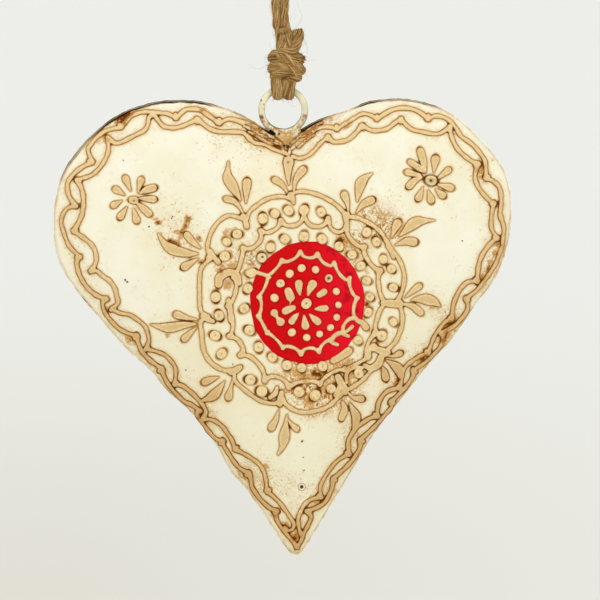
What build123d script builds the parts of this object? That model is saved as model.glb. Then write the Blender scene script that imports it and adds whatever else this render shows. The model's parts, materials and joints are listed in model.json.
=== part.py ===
from build123d import *
import math
import os

# A puffed tin heart: two pressed shells soldered rim to rim, piped paste trails on its front,
# and a wire ring soldered in its cleft, through which a knotted jute cord passes.
# x runs to the right of the face, y to the back and z up.
# The origin is the point where the cord's loop bears on its nail.

# Driving sizes, in millimetres
heart_width = 150.0
shell_depth = 14.0
sheet = 0.45
rim_land = 0.75
rim_lip = 0.4
seam_reach = 0.45

ring_outside = 16.4
ring_wire = 2.16
ring_to_cleft = 1.4
solder_width = 15.0
solder_thickness = 6.6
solder_height = 9.0
solder_above_cleft = 0.6

cord = 2.6
wrap_cord = 2.8
neck_spacing = 2.5
nail_radius = 3.0
loop_drop = 36.0
neck_height = 6.9
knot_height = 10.7
knot_width = 12.1
knot_to_ring = 2.35
foot_width = 8.7
foot_height = 0.7
core_width = 6.0
core_slack = 0.1
tail_height = 7.4
wrap_slack = 0.1
bight_width = 3.5
bight_thickness = 2.3
bight_gap = 0.12
bight_to_ring = 0.95

trail_width = 1.45
trail_height = 0.7
fine_trail_width = 1.25
fine_trail_height = 0.6
coat = 0.07
coat_lift = 0.05
paste_lift = 0.18
dot_width = 3.4
small_dot_width = 2.5
dot_height = 0.8
leaf_width = 3.4
drop_width = 2.9
petal_width = 2.1
centre_petal_width = 2.7

# Counts and shares
crown_power = 2.5
shoulder_power = 0.72
roundness_share = 0.85
level_shares = [1.0, 0.965, 0.9, 0.79, 0.63, 0.43, 0.22, 0.08]
crest_width_share = 0.45
dot_top_share = 0.55
mitre_limit = 1.7
dot_sides = 10
cord_sides = 8
knot_turns = 2.4
knot_points_each_turn = 8
arc_share_of_run = 0.45
strands_part_share = 0.66
strands_apart_share = 0.24
tail_lean_share = 0.4
cord_section_radius = 0.5 / math.cos(math.pi / cord_sides)

# Places read from the front view, in its pixels, 600 across; the heart leans a little there
cleft_px = (284, 139)
tip_px = (296, 554)
middle_px = (288, 298)
widest_px = (54.2, 511)
left_edge_px = [
    (270, 132), (250, 120.5), (210, 104.5), (170, 101.7), (130, 110), (90, 138), (62, 178), (54.2, 225),
    (65, 272), (100, 317), (151, 370), (207, 430), (255, 500),
]
right_edge_px = [
    (297, 134), (310, 125), (350, 110), (395, 99.5), (443, 110), (479.5, 140), (505, 175), (511, 210),
    (502, 260), (472, 310), (431, 360), (390, 410), (351, 470), (315, 530),
]

# Piped trails: cusp, crest, cusp, crest and so on, each crest the middle of its arc
outer_left_px = [
    (243, 124), (231, 118.5), (219, 123), (198, 109.5), (176, 118), (149, 112), (121, 127),
    (98, 136.5), (92, 162), (70, 180), (76, 206), (62, 225), (80, 257), (81, 279), (106, 299),
    (109, 319), (137, 336), (142, 352), (162, 369), (174, 390), (200, 411), (206, 426),
    (223, 441), (230, 456), (249, 473), (259, 493), (277, 511), (284, 526), (293, 542),
]
outer_right_px = [
    (305, 134), (319, 128), (337, 129), (357, 116), (377, 119), (403, 108), (428, 119),
    (448, 119), (461, 137), (478, 149), (486, 176), (498, 191), (500, 215), (500, 252),
    (467, 299), (461, 316), (444, 336), (436, 350), (413, 370), (404, 386), (391, 402),
    (379, 416), (360, 440), (352, 458), (333, 479), (327, 498), (309, 511), (307, 525), (300, 542),
]
inner_left_px = [
    (281, 155), (267, 147), (250, 139), (226, 133), (197.5, 119.5), (175, 129), (153, 120),
    (140, 133), (108, 138), (104, 161.5), (77, 180), (83.5, 205), (74, 231), (93, 247.5),
    (91.5, 271), (112, 284), (112, 309), (137, 319.5), (146, 349), (167, 357), (175, 384),
    (196, 395), (209, 415), (225, 426), (235, 449), (257, 462.5), (267, 491), (281, 504),
    (292, 522),
]
inner_right_px = [
    (296, 158), (313, 153), (328, 137), (344, 141.5), (362, 126), (382, 130.5), (401, 119),
    (425, 133), (450, 127), (458, 149), (478, 164), (477, 184), (494, 203), (491, 221),
    (494, 238), (482, 256), (477, 281), (459, 291), (449.5, 318), (437, 330), (425, 350),
    (411, 364), (397, 383), (383, 393), (374, 412), (360, 428), (346, 452), (331, 469),
    (319, 495), (305, 506), (299, 524),
]
medallion_outline_px = [
    (290, 198), (320, 196), (346, 217), (371, 225.5), (391, 250), (404, 277), (399, 302),
    (400.5, 328), (385, 353), (366, 376), (344, 392), (312, 411), (283, 399), (257, 398.5),
    (234, 375), (208, 358), (203, 319), (200, 288), (208, 259), (214, 228), (244, 217),
    (263, 202), (290, 198),
]
medallion_scallop_px = [
    (304, 217), (316, 227), (328, 219), (335, 231.5), (346, 227), (352, 241), (364, 247),
    (368, 261), (380, 271), (378.5, 287), (385, 303), (377, 318), (376, 333), (367.5, 345),
    (368, 357), (357, 363.5), (345, 370), (331, 373), (320, 384), (305, 381), (289, 387),
    (278, 377), (265, 380), (257, 362), (241, 355), (241.5, 344), (230, 336), (233, 321),
    (228, 306), (236, 291), (234, 277), (241, 262), (243, 248), (257, 245), (261, 231),
    (273, 231), (281, 221), (293, 226), (304, 217),
]
centre_scallop_px = [
    (300.3, 252), (308.5, 258), (317.5, 254), (326, 264.5), (334, 263), (342, 277), (349.5, 278),
    (351, 290), (357.5, 298), (353.5, 308), (355, 318), (345, 323), (344, 334), (336, 334),
    (331, 341), (324, 343), (319, 352), (309, 348), (301, 354), (292, 347), (283, 348),
    (275, 338), (267, 333), (263, 324), (258, 316), (261.5, 306), (258.5, 297), (265.5, 286),
    (267.5, 276), (276, 269), (282, 260), (291, 260.5), (300.3, 252),
]

# Dots, as middles
outer_dots_px = [
    (263, 219), (275, 213), (288.5, 210), (304, 208), (321, 210), (366, 233), (376.5, 243),
    (384, 258), (392, 269), (392.5, 287), (392.5, 322), (385, 338), (355.5, 374), (331, 389),
    (315, 396), (299, 394), (262, 391), (248, 377), (222, 353.5), (216, 335.5), (219, 315.5),
    (216, 297), (222, 272), (225, 256.5), (227, 242), (238, 234.5),
]
inner_dots_px = [
    (304, 237), (285, 240), (270.5, 247.5), (260.5, 257.5), (249, 272.5), (248, 288.5),
    (244, 308.5), (249, 330.5), (258, 346.5), (271, 358), (286, 366), (301, 369), (322, 367),
    (335, 361), (346, 353), (357, 340), (368, 326), (368, 312), (369.5, 297), (366.5, 281.5),
    (360.5, 266.5), (352, 255), (339.5, 246), (322, 239),
]
centre_dots_px = [
    (301.4, 268.3), (314.8, 269.9), (328.4, 278.3), (336, 291.3), (338, 304.7), (337, 316.3),
    (330.4, 328), (319.3, 333.7), (307, 337.5), (292.5, 332.6), (281, 321), (273.5, 312),
    (274.6, 297.8), (280, 284), (289.6, 273.4), (321.5, 293.5), (306.3, 303.6),
]
centre_petals_px = [
    [(299.5, 294), (298.5, 281)], [(307, 294), (313, 282)], [(315.5, 309), (327, 307.5)],
    [(309.5, 314.5), (318.5, 322)], [(303.5, 315.5), (304.5, 328)], [(298, 313.5), (290.5, 322)],
    [(294, 308), (283.5, 312)], [(291, 300), (288.5, 290)],
]

# Leaf sprigs, from the base outwards: the leaf by base, body and tip, a drop by base and round end
leaves_px = [
    [(240, 203), (229, 183), (227, 162)], [(287, 188), (287, 172), (288, 159)],
    [(356, 207), (361, 186), (372, 172)], [(399, 237), (413, 223), (435, 219)],
    [(411, 300), (428, 299), (440, 304)], [(387, 360), (396, 367), (396, 378)],
    [(351, 405), (355, 413), (350, 427)], [(287, 417), (284, 436), (278, 454)],
    [(223, 383), (214, 392), (204, 397)], [(194, 324), (169, 329), (151, 324)],
    [(197, 253), (171, 249), (157, 233)],
]
drops_px = [
    [(245, 205), (247, 184)], [(239, 210), (228, 199)], [(281, 187), (274, 169)],
    [(297, 186), (303, 169)], [(347, 211), (344, 194)], [(358, 213), (371, 200)],
    [(391, 238), (397, 222)], [(396, 245), (414, 242)], [(406, 296), (420, 288)],
    [(406, 306), (420, 311)], [(389, 355), (401, 353)], [(382, 368), (384, 378)],
    [(350, 396), (362, 400)], [(342, 402), (341, 419)], [(280, 414), (272, 427)],
    [(290, 416), (297, 427)], [(218, 378), (204, 381)], [(231, 384), (229, 398)],
    [(194, 319), (177, 315)], [(195, 330), (185, 338)], [(200, 246), (186, 236)],
    [(197, 259), (184, 267)],
]
left_flower_px = [
    [(131, 191), (126, 178)], [(138, 192), (143, 179)], [(142, 195), (157, 189)],
    [(142, 199), (156, 200)], [(139, 207), (148, 214)], [(134, 209), (138, 222)],
    [(128, 208), (121, 219)], [(123, 202), (112, 207)], [(124, 196), (113, 188)],
]
right_flower_px = [
    [(426, 170), (420, 152)], [(433, 171), (436, 156)], [(439, 175), (450, 168)],
    [(439, 184), (453, 187)], [(436, 189), (444, 199)], [(429, 190), (431, 204)],
    [(423, 189), (417, 201)], [(419, 183), (406, 188)], [(419, 175), (407, 164)],
]
flower_middles_px = {"left": (134, 201), "right": (430, 180)}
roundel_middle_px = (307.3, 302.7)
roundel_radii_px = (57, 61)

# Widths of a stroke along its length, as shares of the widest
leaf_shares = [0.3, 0.72, 1.0, 0.8, 0.2]
drop_shares = [0.35, 0.62, 1.0, 0.55]
drop_place_shares = [0, 0.38, 0.76, 1]

# Worked out from the sizes above
face_scale = heart_width / (widest_px[1] - widest_px[0])
lean = math.atan2(tip_px[0] - cleft_px[0], tip_px[1] - cleft_px[1])
swing_height = -(loop_drop + neck_height + knot_height + knot_to_ring)
ring_radius = (ring_outside - ring_wire) / 2
ring_middle = Vector(0, 0, swing_height - ring_radius)
cleft_height = swing_height - 2 * ring_radius - ring_wire / 2 - ring_to_cleft
neck_top = -loop_drop
knot_top = neck_top - neck_height
knot_bottom = knot_top - knot_height
beyond = 2 * shell_depth


def on_face(pixel):
    # The heart is stood upright about its cleft
    right = (pixel[0] - cleft_px[0]) * face_scale
    down = (pixel[1] - cleft_px[1]) * face_scale
    x = right * math.cos(lean) - down * math.sin(lean)
    z = cleft_height - down * math.cos(lean) - right * math.sin(lean)
    return Vector(x, 0, z)


middle = on_face(middle_px)
spokes = [on_face(p) - middle for p in left_edge_px + right_edge_px]
mean_spoke = sum(s.length for s in spokes) / len(spokes)


def rim_point(pixel, share, inset):
    # Inner outlines shrink towards the middle and grow rounder, so cleft and tip fade out
    spoke = on_face(pixel) - middle
    even = roundness_share * (1 - share)
    length = (1 - even) * (spoke.length - inset) + even * (mean_spoke - inset)
    return middle + spoke.normalized() * length * share


def level(share, inset, depth):
    rise = (1 - share**crown_power) ** shoulder_power if share < 1 else 0
    return outline(share, inset, rim_lip + (depth - rim_lip) * rise)


def outline(share, inset, height):
    # Every outline passes its points at the same parameters, so that the loft's surface is plain
    lift = Vector(0, -height, 0)
    halves = []
    for edge in (left_edge_px, right_edge_px):
        pixels = [cleft_px, *edge, tip_px]
        reaches = [0.0]
        for a, b in zip(pixels, pixels[1:]):
            reaches.append(reaches[-1] + math.dist(a, b))
        points = [rim_point(p, share, inset) + lift for p in pixels]
        halves.append(Edge.make_spline(points, parameters=[r / reaches[-1] for r in reaches]))
    return make_face(halves)


def pressing(inset, depth):
    # The solid under one pressed half: a straight lip at the seam, then up to its crown
    lip = extrude(outline(1, inset, 0), amount=rim_lip, dir=(0, -1, 0))
    return lip + loft([level(share, inset, depth) for share in level_shares])


outside = pressing(0, shell_depth)
inside = pressing(rim_land, shell_depth - sheet)
front_skin = outside.shell()
back_outside = mirror(outside, Plane.XZ)


def seat(point):
    # The spot on the front pressing behind a point of the face, and the way out of it there
    hits = front_skin.find_intersection_points(Axis((point.X, -beyond, point.Z), (0, 1, 0)))
    spot, normal = min(hits, key=lambda hit: hit[0].Y)
    return spot, normal if normal.Y < 0 else -normal


def sections(path, widths, height, closed):
    # Cross-sections of a paste trail that follows the pressing, mitred at each point
    found = []
    last = len(path) - 1
    for i, point in enumerate(path):
        before = path[last - 1] if closed and i == 0 else path[max(i - 1, 0)]
        after = path[1] if closed and i == last else path[min(i + 1, last)]
        arrive = (point - before).normalized() if before != point else (after - point).normalized()
        leave = (after - point).normalized() if after != point else arrive
        along = (arrive + leave).normalized()
        spread = min(1 / max(along.dot(leave), 1 / mitre_limit), mitre_limit)
        spot, out = seat(point)
        side = along.cross(out).normalized() * (widths[i] * spread / 2)
        foot = spot + out * paste_lift
        crest = foot + out * height
        top = side * crest_width_share
        corners = [foot - side, foot + side, crest + top, crest - top]
        found.append(make_face(Polyline(*corners, close=True)))
    return found


def arcs(pixels, steps):
    # Points along the arcs of cusp, crest, cusp
    points = [on_face(pixels[0])]
    for i in range(0, len(pixels) - 2, 2):
        a, b, c = (on_face(p) for p in pixels[i : i + 3])
        arc = ThreePointArc(a, b, c)
        points += [arc @ (k / steps) for k in range(1, steps + 1)]
    return points


def strokes(pixels, steps, width, height):
    # One paste stroke for each cusp to cusp, end to end along an open or closed trail
    path = arcs(pixels, steps)
    closed = pixels[0] == pixels[-1]
    cuts = sections(path, [width] * len(path), height, closed)
    return [loft(cuts[i : i + steps + 1], ruled=True) for i in range(0, len(path) - 1, steps)]


def leaf(pixels, width, height):
    path = arcs(pixels, len(leaf_shares) - 1)
    return loft(sections(path, [width * s for s in leaf_shares], height, False), ruled=True)


def drop(pixels, width, height):
    base, end = (on_face(p) for p in pixels)
    path = [base + (end - base) * s for s in drop_place_shares]
    return loft(sections(path, [width * s for s in drop_shares], height, False), ruled=True)


def dot(pixel, width):
    spot, out = seat(on_face(pixel))
    foot = Plane(origin=spot + out * paste_lift, z_dir=out)
    draft = math.degrees(math.atan2(width / 2 * (1 - dot_top_share), dot_height))
    return extrude(foot * RegularPolygon(width / 2, dot_sides), amount=dot_height, taper=draft)


def seam():
    # The solder bead round the lips of both pressings, open where the ring passes
    filled, lips = (
        extrude(outline(1, inset, 0), amount=rim_lip, dir=(0, -1, 0), both=True)
        for inset in (-seam_reach, 0)
    )
    return filled - lips - ring()


def ring():
    return Pos(ring_middle) * Rot(90, 0, 0) * Torus(ring_radius, ring_wire / 2)


def ring_solder():
    # The lump of solder in the cleft, round the foot of the ring
    radii = (solder_width / 2, solder_thickness / 2, solder_height / 2)
    lump = Pos(0, 0, cleft_height + solder_above_cleft) * scale(Sphere(1), by=radii)
    return lump - ring() - outside - back_outside - seam()


def roundel():
    # A coat of enamel on the front, between two skins just clear of the metal
    a, b = (r * face_scale for r in roundel_radii_px)
    spot = on_face(roundel_middle_px)
    prism = extrude(Plane(origin=(spot.X, 0, spot.Z), z_dir=(0, -1, 0)) * Ellipse(a, b), beyond)
    upper = Pos(0, -(coat_lift + coat), 0) * outside
    lower = Pos(0, -coat_lift, 0) * outside
    return (prism & upper) - lower


def cord_path(name, points):
    # Straight runs joined by arcs, each as large as its two runs allow
    turns = []
    for a, b, c in zip(points, points[1:], points[2:]):
        first, second = Vector(*b) - Vector(*a), Vector(*c) - Vector(*b)
        half_turn = math.radians(first.get_angle(second)) / 2
        turns.append(arc_share_of_run * min(first.length, second.length) / math.tan(half_turn))
    print(name, "radii", [round(r, 1) for r in turns])
    return FilletPolyline(*points, radius=turns)


def tube(name, points, across, thick):
    # A cord of flat sides, across wide and thick deep, swept along its route
    path = cord_path(name, points)
    start = Plane(origin=path @ 0, x_dir=(1, 0, 0), z_dir=path % 0)
    flat_first = RegularPolygon(cord_section_radius, cord_sides, rotation=180 / cord_sides)
    section = start * scale(flat_first, by=(across, thick, 1))
    made = sweep(section, path=path)
    expected = section.area * path.length
    print(name, "length", round(path.length, 1), "volume", round(made.volume, 1), round(expected, 1))
    return made


def cord_loop():
    # Two strands rise from the knot, part, and close over the nail
    spread = nail_radius + cord / 2
    shoulder = spread * math.tan(math.radians(30))
    peak = spread / math.cos(math.radians(30))
    bend = -nail_radius
    points = [
        (-neck_spacing / 2, 0, neck_top),
        (-neck_spacing / 2, 0, neck_top * strands_part_share),
        (-spread, 0, neck_top * strands_apart_share),
        (-spread, 0, bend + shoulder),
        (0, 0, bend + peak),
        (spread, 0, bend + shoulder),
        (spread, 0, neck_top * strands_apart_share),
        (neck_spacing / 2, 0, neck_top * strands_part_share),
        (neck_spacing / 2, 0, neck_top),
    ]
    return tube("cord_loop", points, cord, cord)


def cord_core():
    # What the knot grips: two strands above, gathered cords inside and where the bights leave
    strand = Cylinder(cord / 2 - core_slack, neck_height)
    strands = [Pos(s * neck_spacing / 2, 0, neck_top - neck_height / 2) * strand for s in (-1, 1)]
    core = Cylinder(core_width / 2, knot_height)
    core = Pos(0, 0, knot_bottom + knot_height / 2) * core
    foot = Cylinder(foot_width / 2, foot_height)
    foot = Pos(0, 0, knot_bottom + foot_height / 2) * foot
    return core + foot + strands


def cord_knot():
    # The cord wound round itself from its cut tail downwards
    winding = (knot_width - wrap_cord) / 2
    corner = winding / math.cos(math.pi / knot_points_each_turn)
    top = knot_top - wrap_cord / 2
    fall = (knot_height - foot_height - wrap_cord - wrap_slack) / knot_turns
    points = [(winding, -wrap_cord * tail_lean_share, top + tail_height), (winding, 0, top + wrap_cord)]
    for i in range(round(knot_turns * knot_points_each_turn) + 1):
        turn = (i + 0.5) / knot_points_each_turn
        angle = 2 * math.pi * turn
        points.append((corner * math.cos(angle), corner * math.sin(angle), top - fall * turn))
    return tube("cord_knot", points, wrap_cord, wrap_cord)


def cord_bights():
    # Two turns of the cord under the ring's top wire, each up into the knot at both ends
    drop_radius = ring_wire / 2 + bight_to_ring + bight_thickness / 2
    shoulder = drop_radius * math.tan(math.radians(30))
    peak = drop_radius / math.cos(math.radians(30))
    made = []
    for side in (-1, 1):
        x = side * (bight_width + bight_gap) / 2
        points = [
            (x, -drop_radius, knot_bottom),
            (x, -drop_radius, swing_height - shoulder),
            (x, 0, swing_height - peak),
            (x, drop_radius, swing_height - shoulder),
            (x, drop_radius, knot_bottom),
        ]
        made.append(tube("cord_bight", points, bight_width, bight_thickness))
    return made


fine = (fine_trail_width, fine_trail_height)
bold = (trail_width, trail_height)
nodes = {
    "front_shell": outside - inside,
    "back_shell": back_outside - mirror(inside, Plane.XZ),
    "rim_seam": seam(),
    "hanging_ring": ring(),
    "ring_solder": ring_solder(),
    "red_roundel": roundel(),
    "border_outer_trail": strokes(outer_left_px, 4, *bold) + strokes(outer_right_px, 4, *bold),
    "border_inner_trail": strokes(inner_left_px, 4, *bold) + strokes(inner_right_px, 4, *bold),
    "medallion_outline": strokes(medallion_outline_px, 6, *bold),
    "medallion_scallop": strokes(medallion_scallop_px, 3, *bold),
    "centre_scallop": strokes(centre_scallop_px, 2, *fine),
    "outer_dots": [dot(p, dot_width) for p in outer_dots_px],
    "inner_dots": [dot(p, dot_width) for p in inner_dots_px],
    "centre_dots": [dot(p, small_dot_width) for p in centre_dots_px],
    "centre_flower": [drop(p, centre_petal_width, dot_height) for p in centre_petals_px],
    "sprig_leaves": [leaf(p, leaf_width, trail_height) for p in leaves_px],
    "sprig_drops": [drop(p, drop_width, trail_height) for p in drops_px],
    "left_flower": [drop(p, petal_width, trail_height) for p in left_flower_px]
    + [dot(flower_middles_px["left"], dot_width)],
    "right_flower": [drop(p, petal_width, trail_height) for p in right_flower_px]
    + [dot(flower_middles_px["right"], dot_width)],
    "cord_loop": cord_loop(),
    "cord_core": cord_core(),
    "cord_knot": cord_knot(),
    "cord_bights": cord_bights(),
}

os.makedirs("parts", exist_ok=True)
for name, shape in nodes.items():
    solids = shape if isinstance(shape, list) else [shape]
    export_step(Compound(children=solids) if len(solids) > 1 else solids[0], f"parts/{name}.step")
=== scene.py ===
import json
import math
import random

import bpy
import numpy as np
from mathutils import Matrix, Vector


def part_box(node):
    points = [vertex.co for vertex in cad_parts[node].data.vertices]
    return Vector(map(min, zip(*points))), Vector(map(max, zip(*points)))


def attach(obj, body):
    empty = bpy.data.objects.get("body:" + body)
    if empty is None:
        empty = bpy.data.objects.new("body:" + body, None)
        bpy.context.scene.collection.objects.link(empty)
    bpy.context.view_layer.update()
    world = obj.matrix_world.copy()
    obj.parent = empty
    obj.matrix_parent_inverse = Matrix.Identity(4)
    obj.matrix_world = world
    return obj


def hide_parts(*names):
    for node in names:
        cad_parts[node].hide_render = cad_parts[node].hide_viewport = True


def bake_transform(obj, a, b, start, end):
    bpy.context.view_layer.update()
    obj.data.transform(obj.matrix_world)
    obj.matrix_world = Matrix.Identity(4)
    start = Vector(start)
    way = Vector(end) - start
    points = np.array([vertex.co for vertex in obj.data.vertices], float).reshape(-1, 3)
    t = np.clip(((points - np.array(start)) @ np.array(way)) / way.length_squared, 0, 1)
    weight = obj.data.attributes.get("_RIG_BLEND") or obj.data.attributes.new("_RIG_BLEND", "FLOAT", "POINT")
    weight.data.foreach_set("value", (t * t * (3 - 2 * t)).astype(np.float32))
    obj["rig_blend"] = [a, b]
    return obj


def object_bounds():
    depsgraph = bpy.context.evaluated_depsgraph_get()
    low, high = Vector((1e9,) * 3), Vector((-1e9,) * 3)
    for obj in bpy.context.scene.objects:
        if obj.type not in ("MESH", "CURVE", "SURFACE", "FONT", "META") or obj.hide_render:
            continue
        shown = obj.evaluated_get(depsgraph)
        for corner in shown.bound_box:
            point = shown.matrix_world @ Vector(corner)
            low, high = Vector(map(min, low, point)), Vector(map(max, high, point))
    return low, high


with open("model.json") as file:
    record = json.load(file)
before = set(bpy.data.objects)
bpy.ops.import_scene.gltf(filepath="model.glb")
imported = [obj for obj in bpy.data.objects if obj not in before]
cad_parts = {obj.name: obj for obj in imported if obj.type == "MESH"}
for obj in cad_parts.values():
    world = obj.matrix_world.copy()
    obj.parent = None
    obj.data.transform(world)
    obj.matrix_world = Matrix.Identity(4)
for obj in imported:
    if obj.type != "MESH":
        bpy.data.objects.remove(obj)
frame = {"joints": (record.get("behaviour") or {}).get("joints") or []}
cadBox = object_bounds()
millimetre = 0.001
print("frame loaded")

# The heart's outline, read from the photo at 600 across, from the cleft down each side to the tip
heart = {
    "cleftPx": (284, 139),
    "tipPx": (296, 554),
    "middlePx": (288, 298),
    "sidePx": (54.2, 511),
    "leftPx": [
        (278, 135.5), (270, 132), (260, 126.5), (250, 120.5), (240, 115), (230, 110.5), (220, 107.5),
        (210, 104.5), (195, 101.5), (170, 101.3), (160, 102), (150, 104), (140, 107), (130, 110),
        (120, 115), (110, 121), (100, 129), (90, 138), (80, 149), (70, 162), (65, 171), (60, 183),
        (57, 195), (54.5, 215), (54.5, 235), (58, 256), (65, 272), (75, 287), (90, 305.5), (110, 329),
        (128, 349), (151, 370), (168, 390), (190, 410), (207, 430), (220, 450), (231, 470), (248, 490),
        (262, 510), (275, 530), (289, 550),
    ],
    "rightPx": [
        (290, 136.5), (297, 133), (310, 125), (320, 120), (335, 115), (350, 110), (367, 103),
        (378, 101), (395, 99.5), (405, 100), (419, 102), (430, 105), (443, 110), (459, 120),
        (470, 130), (479.5, 140), (489, 150), (497, 160), (503, 170), (507, 180), (510.5, 200),
        (510, 220), (508, 240), (502, 260), (493, 280), (478, 300), (464, 320), (450, 340),
        (431, 360), (415, 380), (399, 400), (383, 420), (369, 440), (351, 470), (339, 490),
        (327, 510), (315, 530), (302, 550),
    ],
    "crownPower": 2.5,
    "shoulderPower": 0.72,
    "roundness": 0.85,
    "lip": 0.0004,
    "dent": 0.00011,
    "dentSize": 0.021,
}

shellLow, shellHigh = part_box("front_shell")
photoScale = (shellHigh.x - shellLow.x) / (heart["sidePx"][1] - heart["sidePx"][0])
axisDownPx = math.dist(heart["cleftPx"], heart["tipPx"])
cleftHeight = shellLow.z + axisDownPx * photoScale
lean = math.atan2(heart["tipPx"][0] - heart["cleftPx"][0], heart["tipPx"][1] - heart["cleftPx"][1])
shellDepth = -shellLow.y
swingHeight = [j for j in frame["joints"] if j["name"] == "ring_swing"][0]["pos_m"][2]


def onFace(pixels):
    # pixels of the photo to x and z of the upright heart
    p = np.asarray(pixels, float).reshape(-1, 2)
    right = (p[:, 0] - heart["cleftPx"][0]) * photoScale
    down = (p[:, 1] - heart["cleftPx"][1]) * photoScale
    x = right * math.cos(lean) - down * math.sin(lean)
    z = cleftHeight - down * math.cos(lean) - right * math.sin(lean)
    return np.column_stack([x, z])


def smoothLine(points, step):
    # a smooth line through the points, a point every step
    p = np.asarray(points, float)
    if len(p) < 3:
        count = max(int(np.linalg.norm(p[-1] - p[0]) / step), 2)
        t = np.linspace(0, 1, count + 1)[:, None]
        return p[0] * (1 - t) + p[-1] * t
    p = np.vstack([2 * p[0] - p[1], p, 2 * p[-1] - p[-2]])
    line = []
    for a, b, c, d in zip(p, p[1:], p[2:], p[3:]):
        count = max(int(np.linalg.norm(c - b) / step), 1)
        t = (np.arange(count) / count)[:, None]
        square, cube = 2 * a - 5 * b + 4 * c - d, 3 * b - a - 3 * c + d
        line.append(0.5 * (2 * b + (c - a) * t + square * t**2 + cube * t**3))
    return np.vstack([*line, p[-2]])


def rimSide(side, step):
    # one side of the outline, from the cleft to the tip
    return smoothLine(onFace([heart["cleftPx"], *heart[side], heart["tipPx"]]), step)


heartMiddle = onFace(heart["middlePx"])[0]
rimLine = np.vstack([rimSide("leftPx", 0.0004), rimSide("rightPx", 0.0004)[::-1]])
spokes = rimLine - heartMiddle
rimAngles = np.arctan2(spokes[:, 1], spokes[:, 0])
rimReach = np.hypot(spokes[:, 0], spokes[:, 1])
byAngle = np.argsort(rimAngles)
rimAngles, rimReach = rimAngles[byAngle], rimReach[byAngle]
meanReach = float(rimReach.mean())
ripplePhases = np.random.default_rng(7).uniform(0, 2 * math.pi, (8, 2))


def ripple(x, z, size):
    # a smooth unevenness between about -1 and 1, its bumps about size across
    total = np.zeros_like(x)
    for i, (a, b) in enumerate(ripplePhases):
        turn = i * math.pi / 8
        along = (x * math.cos(turn) + z * math.sin(turn)) * 2 * math.pi / (size * (1 + 0.13 * i))
        total += np.sin(along + a) * np.cos(along * 0.37 + b)
    return total / 3


def rimSpoke(x, z):
    dx, dz = x - heartMiddle[0], z - heartMiddle[1]
    reach = np.interp(np.arctan2(dz, dx), rimAngles, rimReach, period=2 * math.pi)
    return np.hypot(dx, dz), reach


def domeShare(x, z):
    # 0 at the middle and 1 on the rim, on nested outlines that grow rounder inwards
    away, reach = rimSpoke(x, z)
    a = heart["roundness"] * (reach - meanReach)
    b = (1 - heart["roundness"]) * reach + heart["roundness"] * meanReach
    return 2 * away / (b + np.sqrt(np.maximum(b * b + 4 * a * away, 1e-12)))


def domeRise(share, x, z, depth):
    rise = (1 - np.minimum(share, 1) ** heart["crownPower"]) ** heart["shoulderPower"]
    dent = heart["dent"] * ripple(x, z, heart["dentSize"]) * np.minimum((1 - share) * 8, 1)
    return heart["lip"] + (depth - heart["lip"]) * rise + dent


def domeHeight(x, z):
    return domeRise(np.minimum(domeShare(x, z), 1), x, z, shellDepth)


def domeFace(x, z):
    # the surface point and the way out of it
    share = np.minimum(domeShare(x, z), 1)
    keep = np.minimum(1, 0.985 / np.maximum(share, 1e-6))
    nearX = heartMiddle[0] + (x - heartMiddle[0]) * keep
    nearZ = heartMiddle[1] + (z - heartMiddle[1]) * keep
    d = 0.0003
    slopeX = (domeHeight(nearX + d, nearZ) - domeHeight(nearX - d, nearZ)) / (2 * d)
    slopeZ = (domeHeight(nearX, nearZ + d) - domeHeight(nearX, nearZ - d)) / (2 * d)
    normal = -np.column_stack([slopeX, np.ones_like(slopeX), slopeZ])
    normal /= np.linalg.norm(normal, axis=1)[:, None]
    return np.column_stack([x, -domeHeight(x, z), z]), normal


def clearSelection():
    if bpy.context.object and bpy.context.object.mode != "OBJECT":
        bpy.ops.object.mode_set(mode="OBJECT")
    bpy.ops.object.select_all(action="DESELECT")


def pickOnly(*objects):
    clearSelection()
    for o in objects:
        o.select_set(True)
    bpy.context.view_layer.objects.active = objects[0]


def named(name):
    made = bpy.context.object
    made.name = name
    made.data.name = name
    return made


def readPoints(piece):
    co = np.empty(len(piece.data.vertices) * 3, np.float32)
    piece.data.vertices.foreach_get("co", co)
    return co.reshape(-1, 3).astype(float)


def writePoints(piece, co):
    piece.data.vertices.foreach_set("co", np.asarray(co, np.float32).ravel())
    piece.data.update()


def paintPoints(piece, label, values):
    layer = piece.data.attributes.new(label, "FLOAT", "POINT")
    layer.data.foreach_set("value", np.asarray(values, np.float32))


def editAll(step, **settings):
    # one edit of everything in the piece picked
    bpy.ops.object.mode_set(mode="EDIT")
    bpy.ops.mesh.select_all(action="SELECT")
    step(**settings)
    bpy.ops.object.mode_set(mode="OBJECT")


def applyAll(piece):
    pickOnly(piece)
    for modifier in list(piece.modifiers):
        bpy.ops.object.modifier_apply(modifier=modifier.name)


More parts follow.
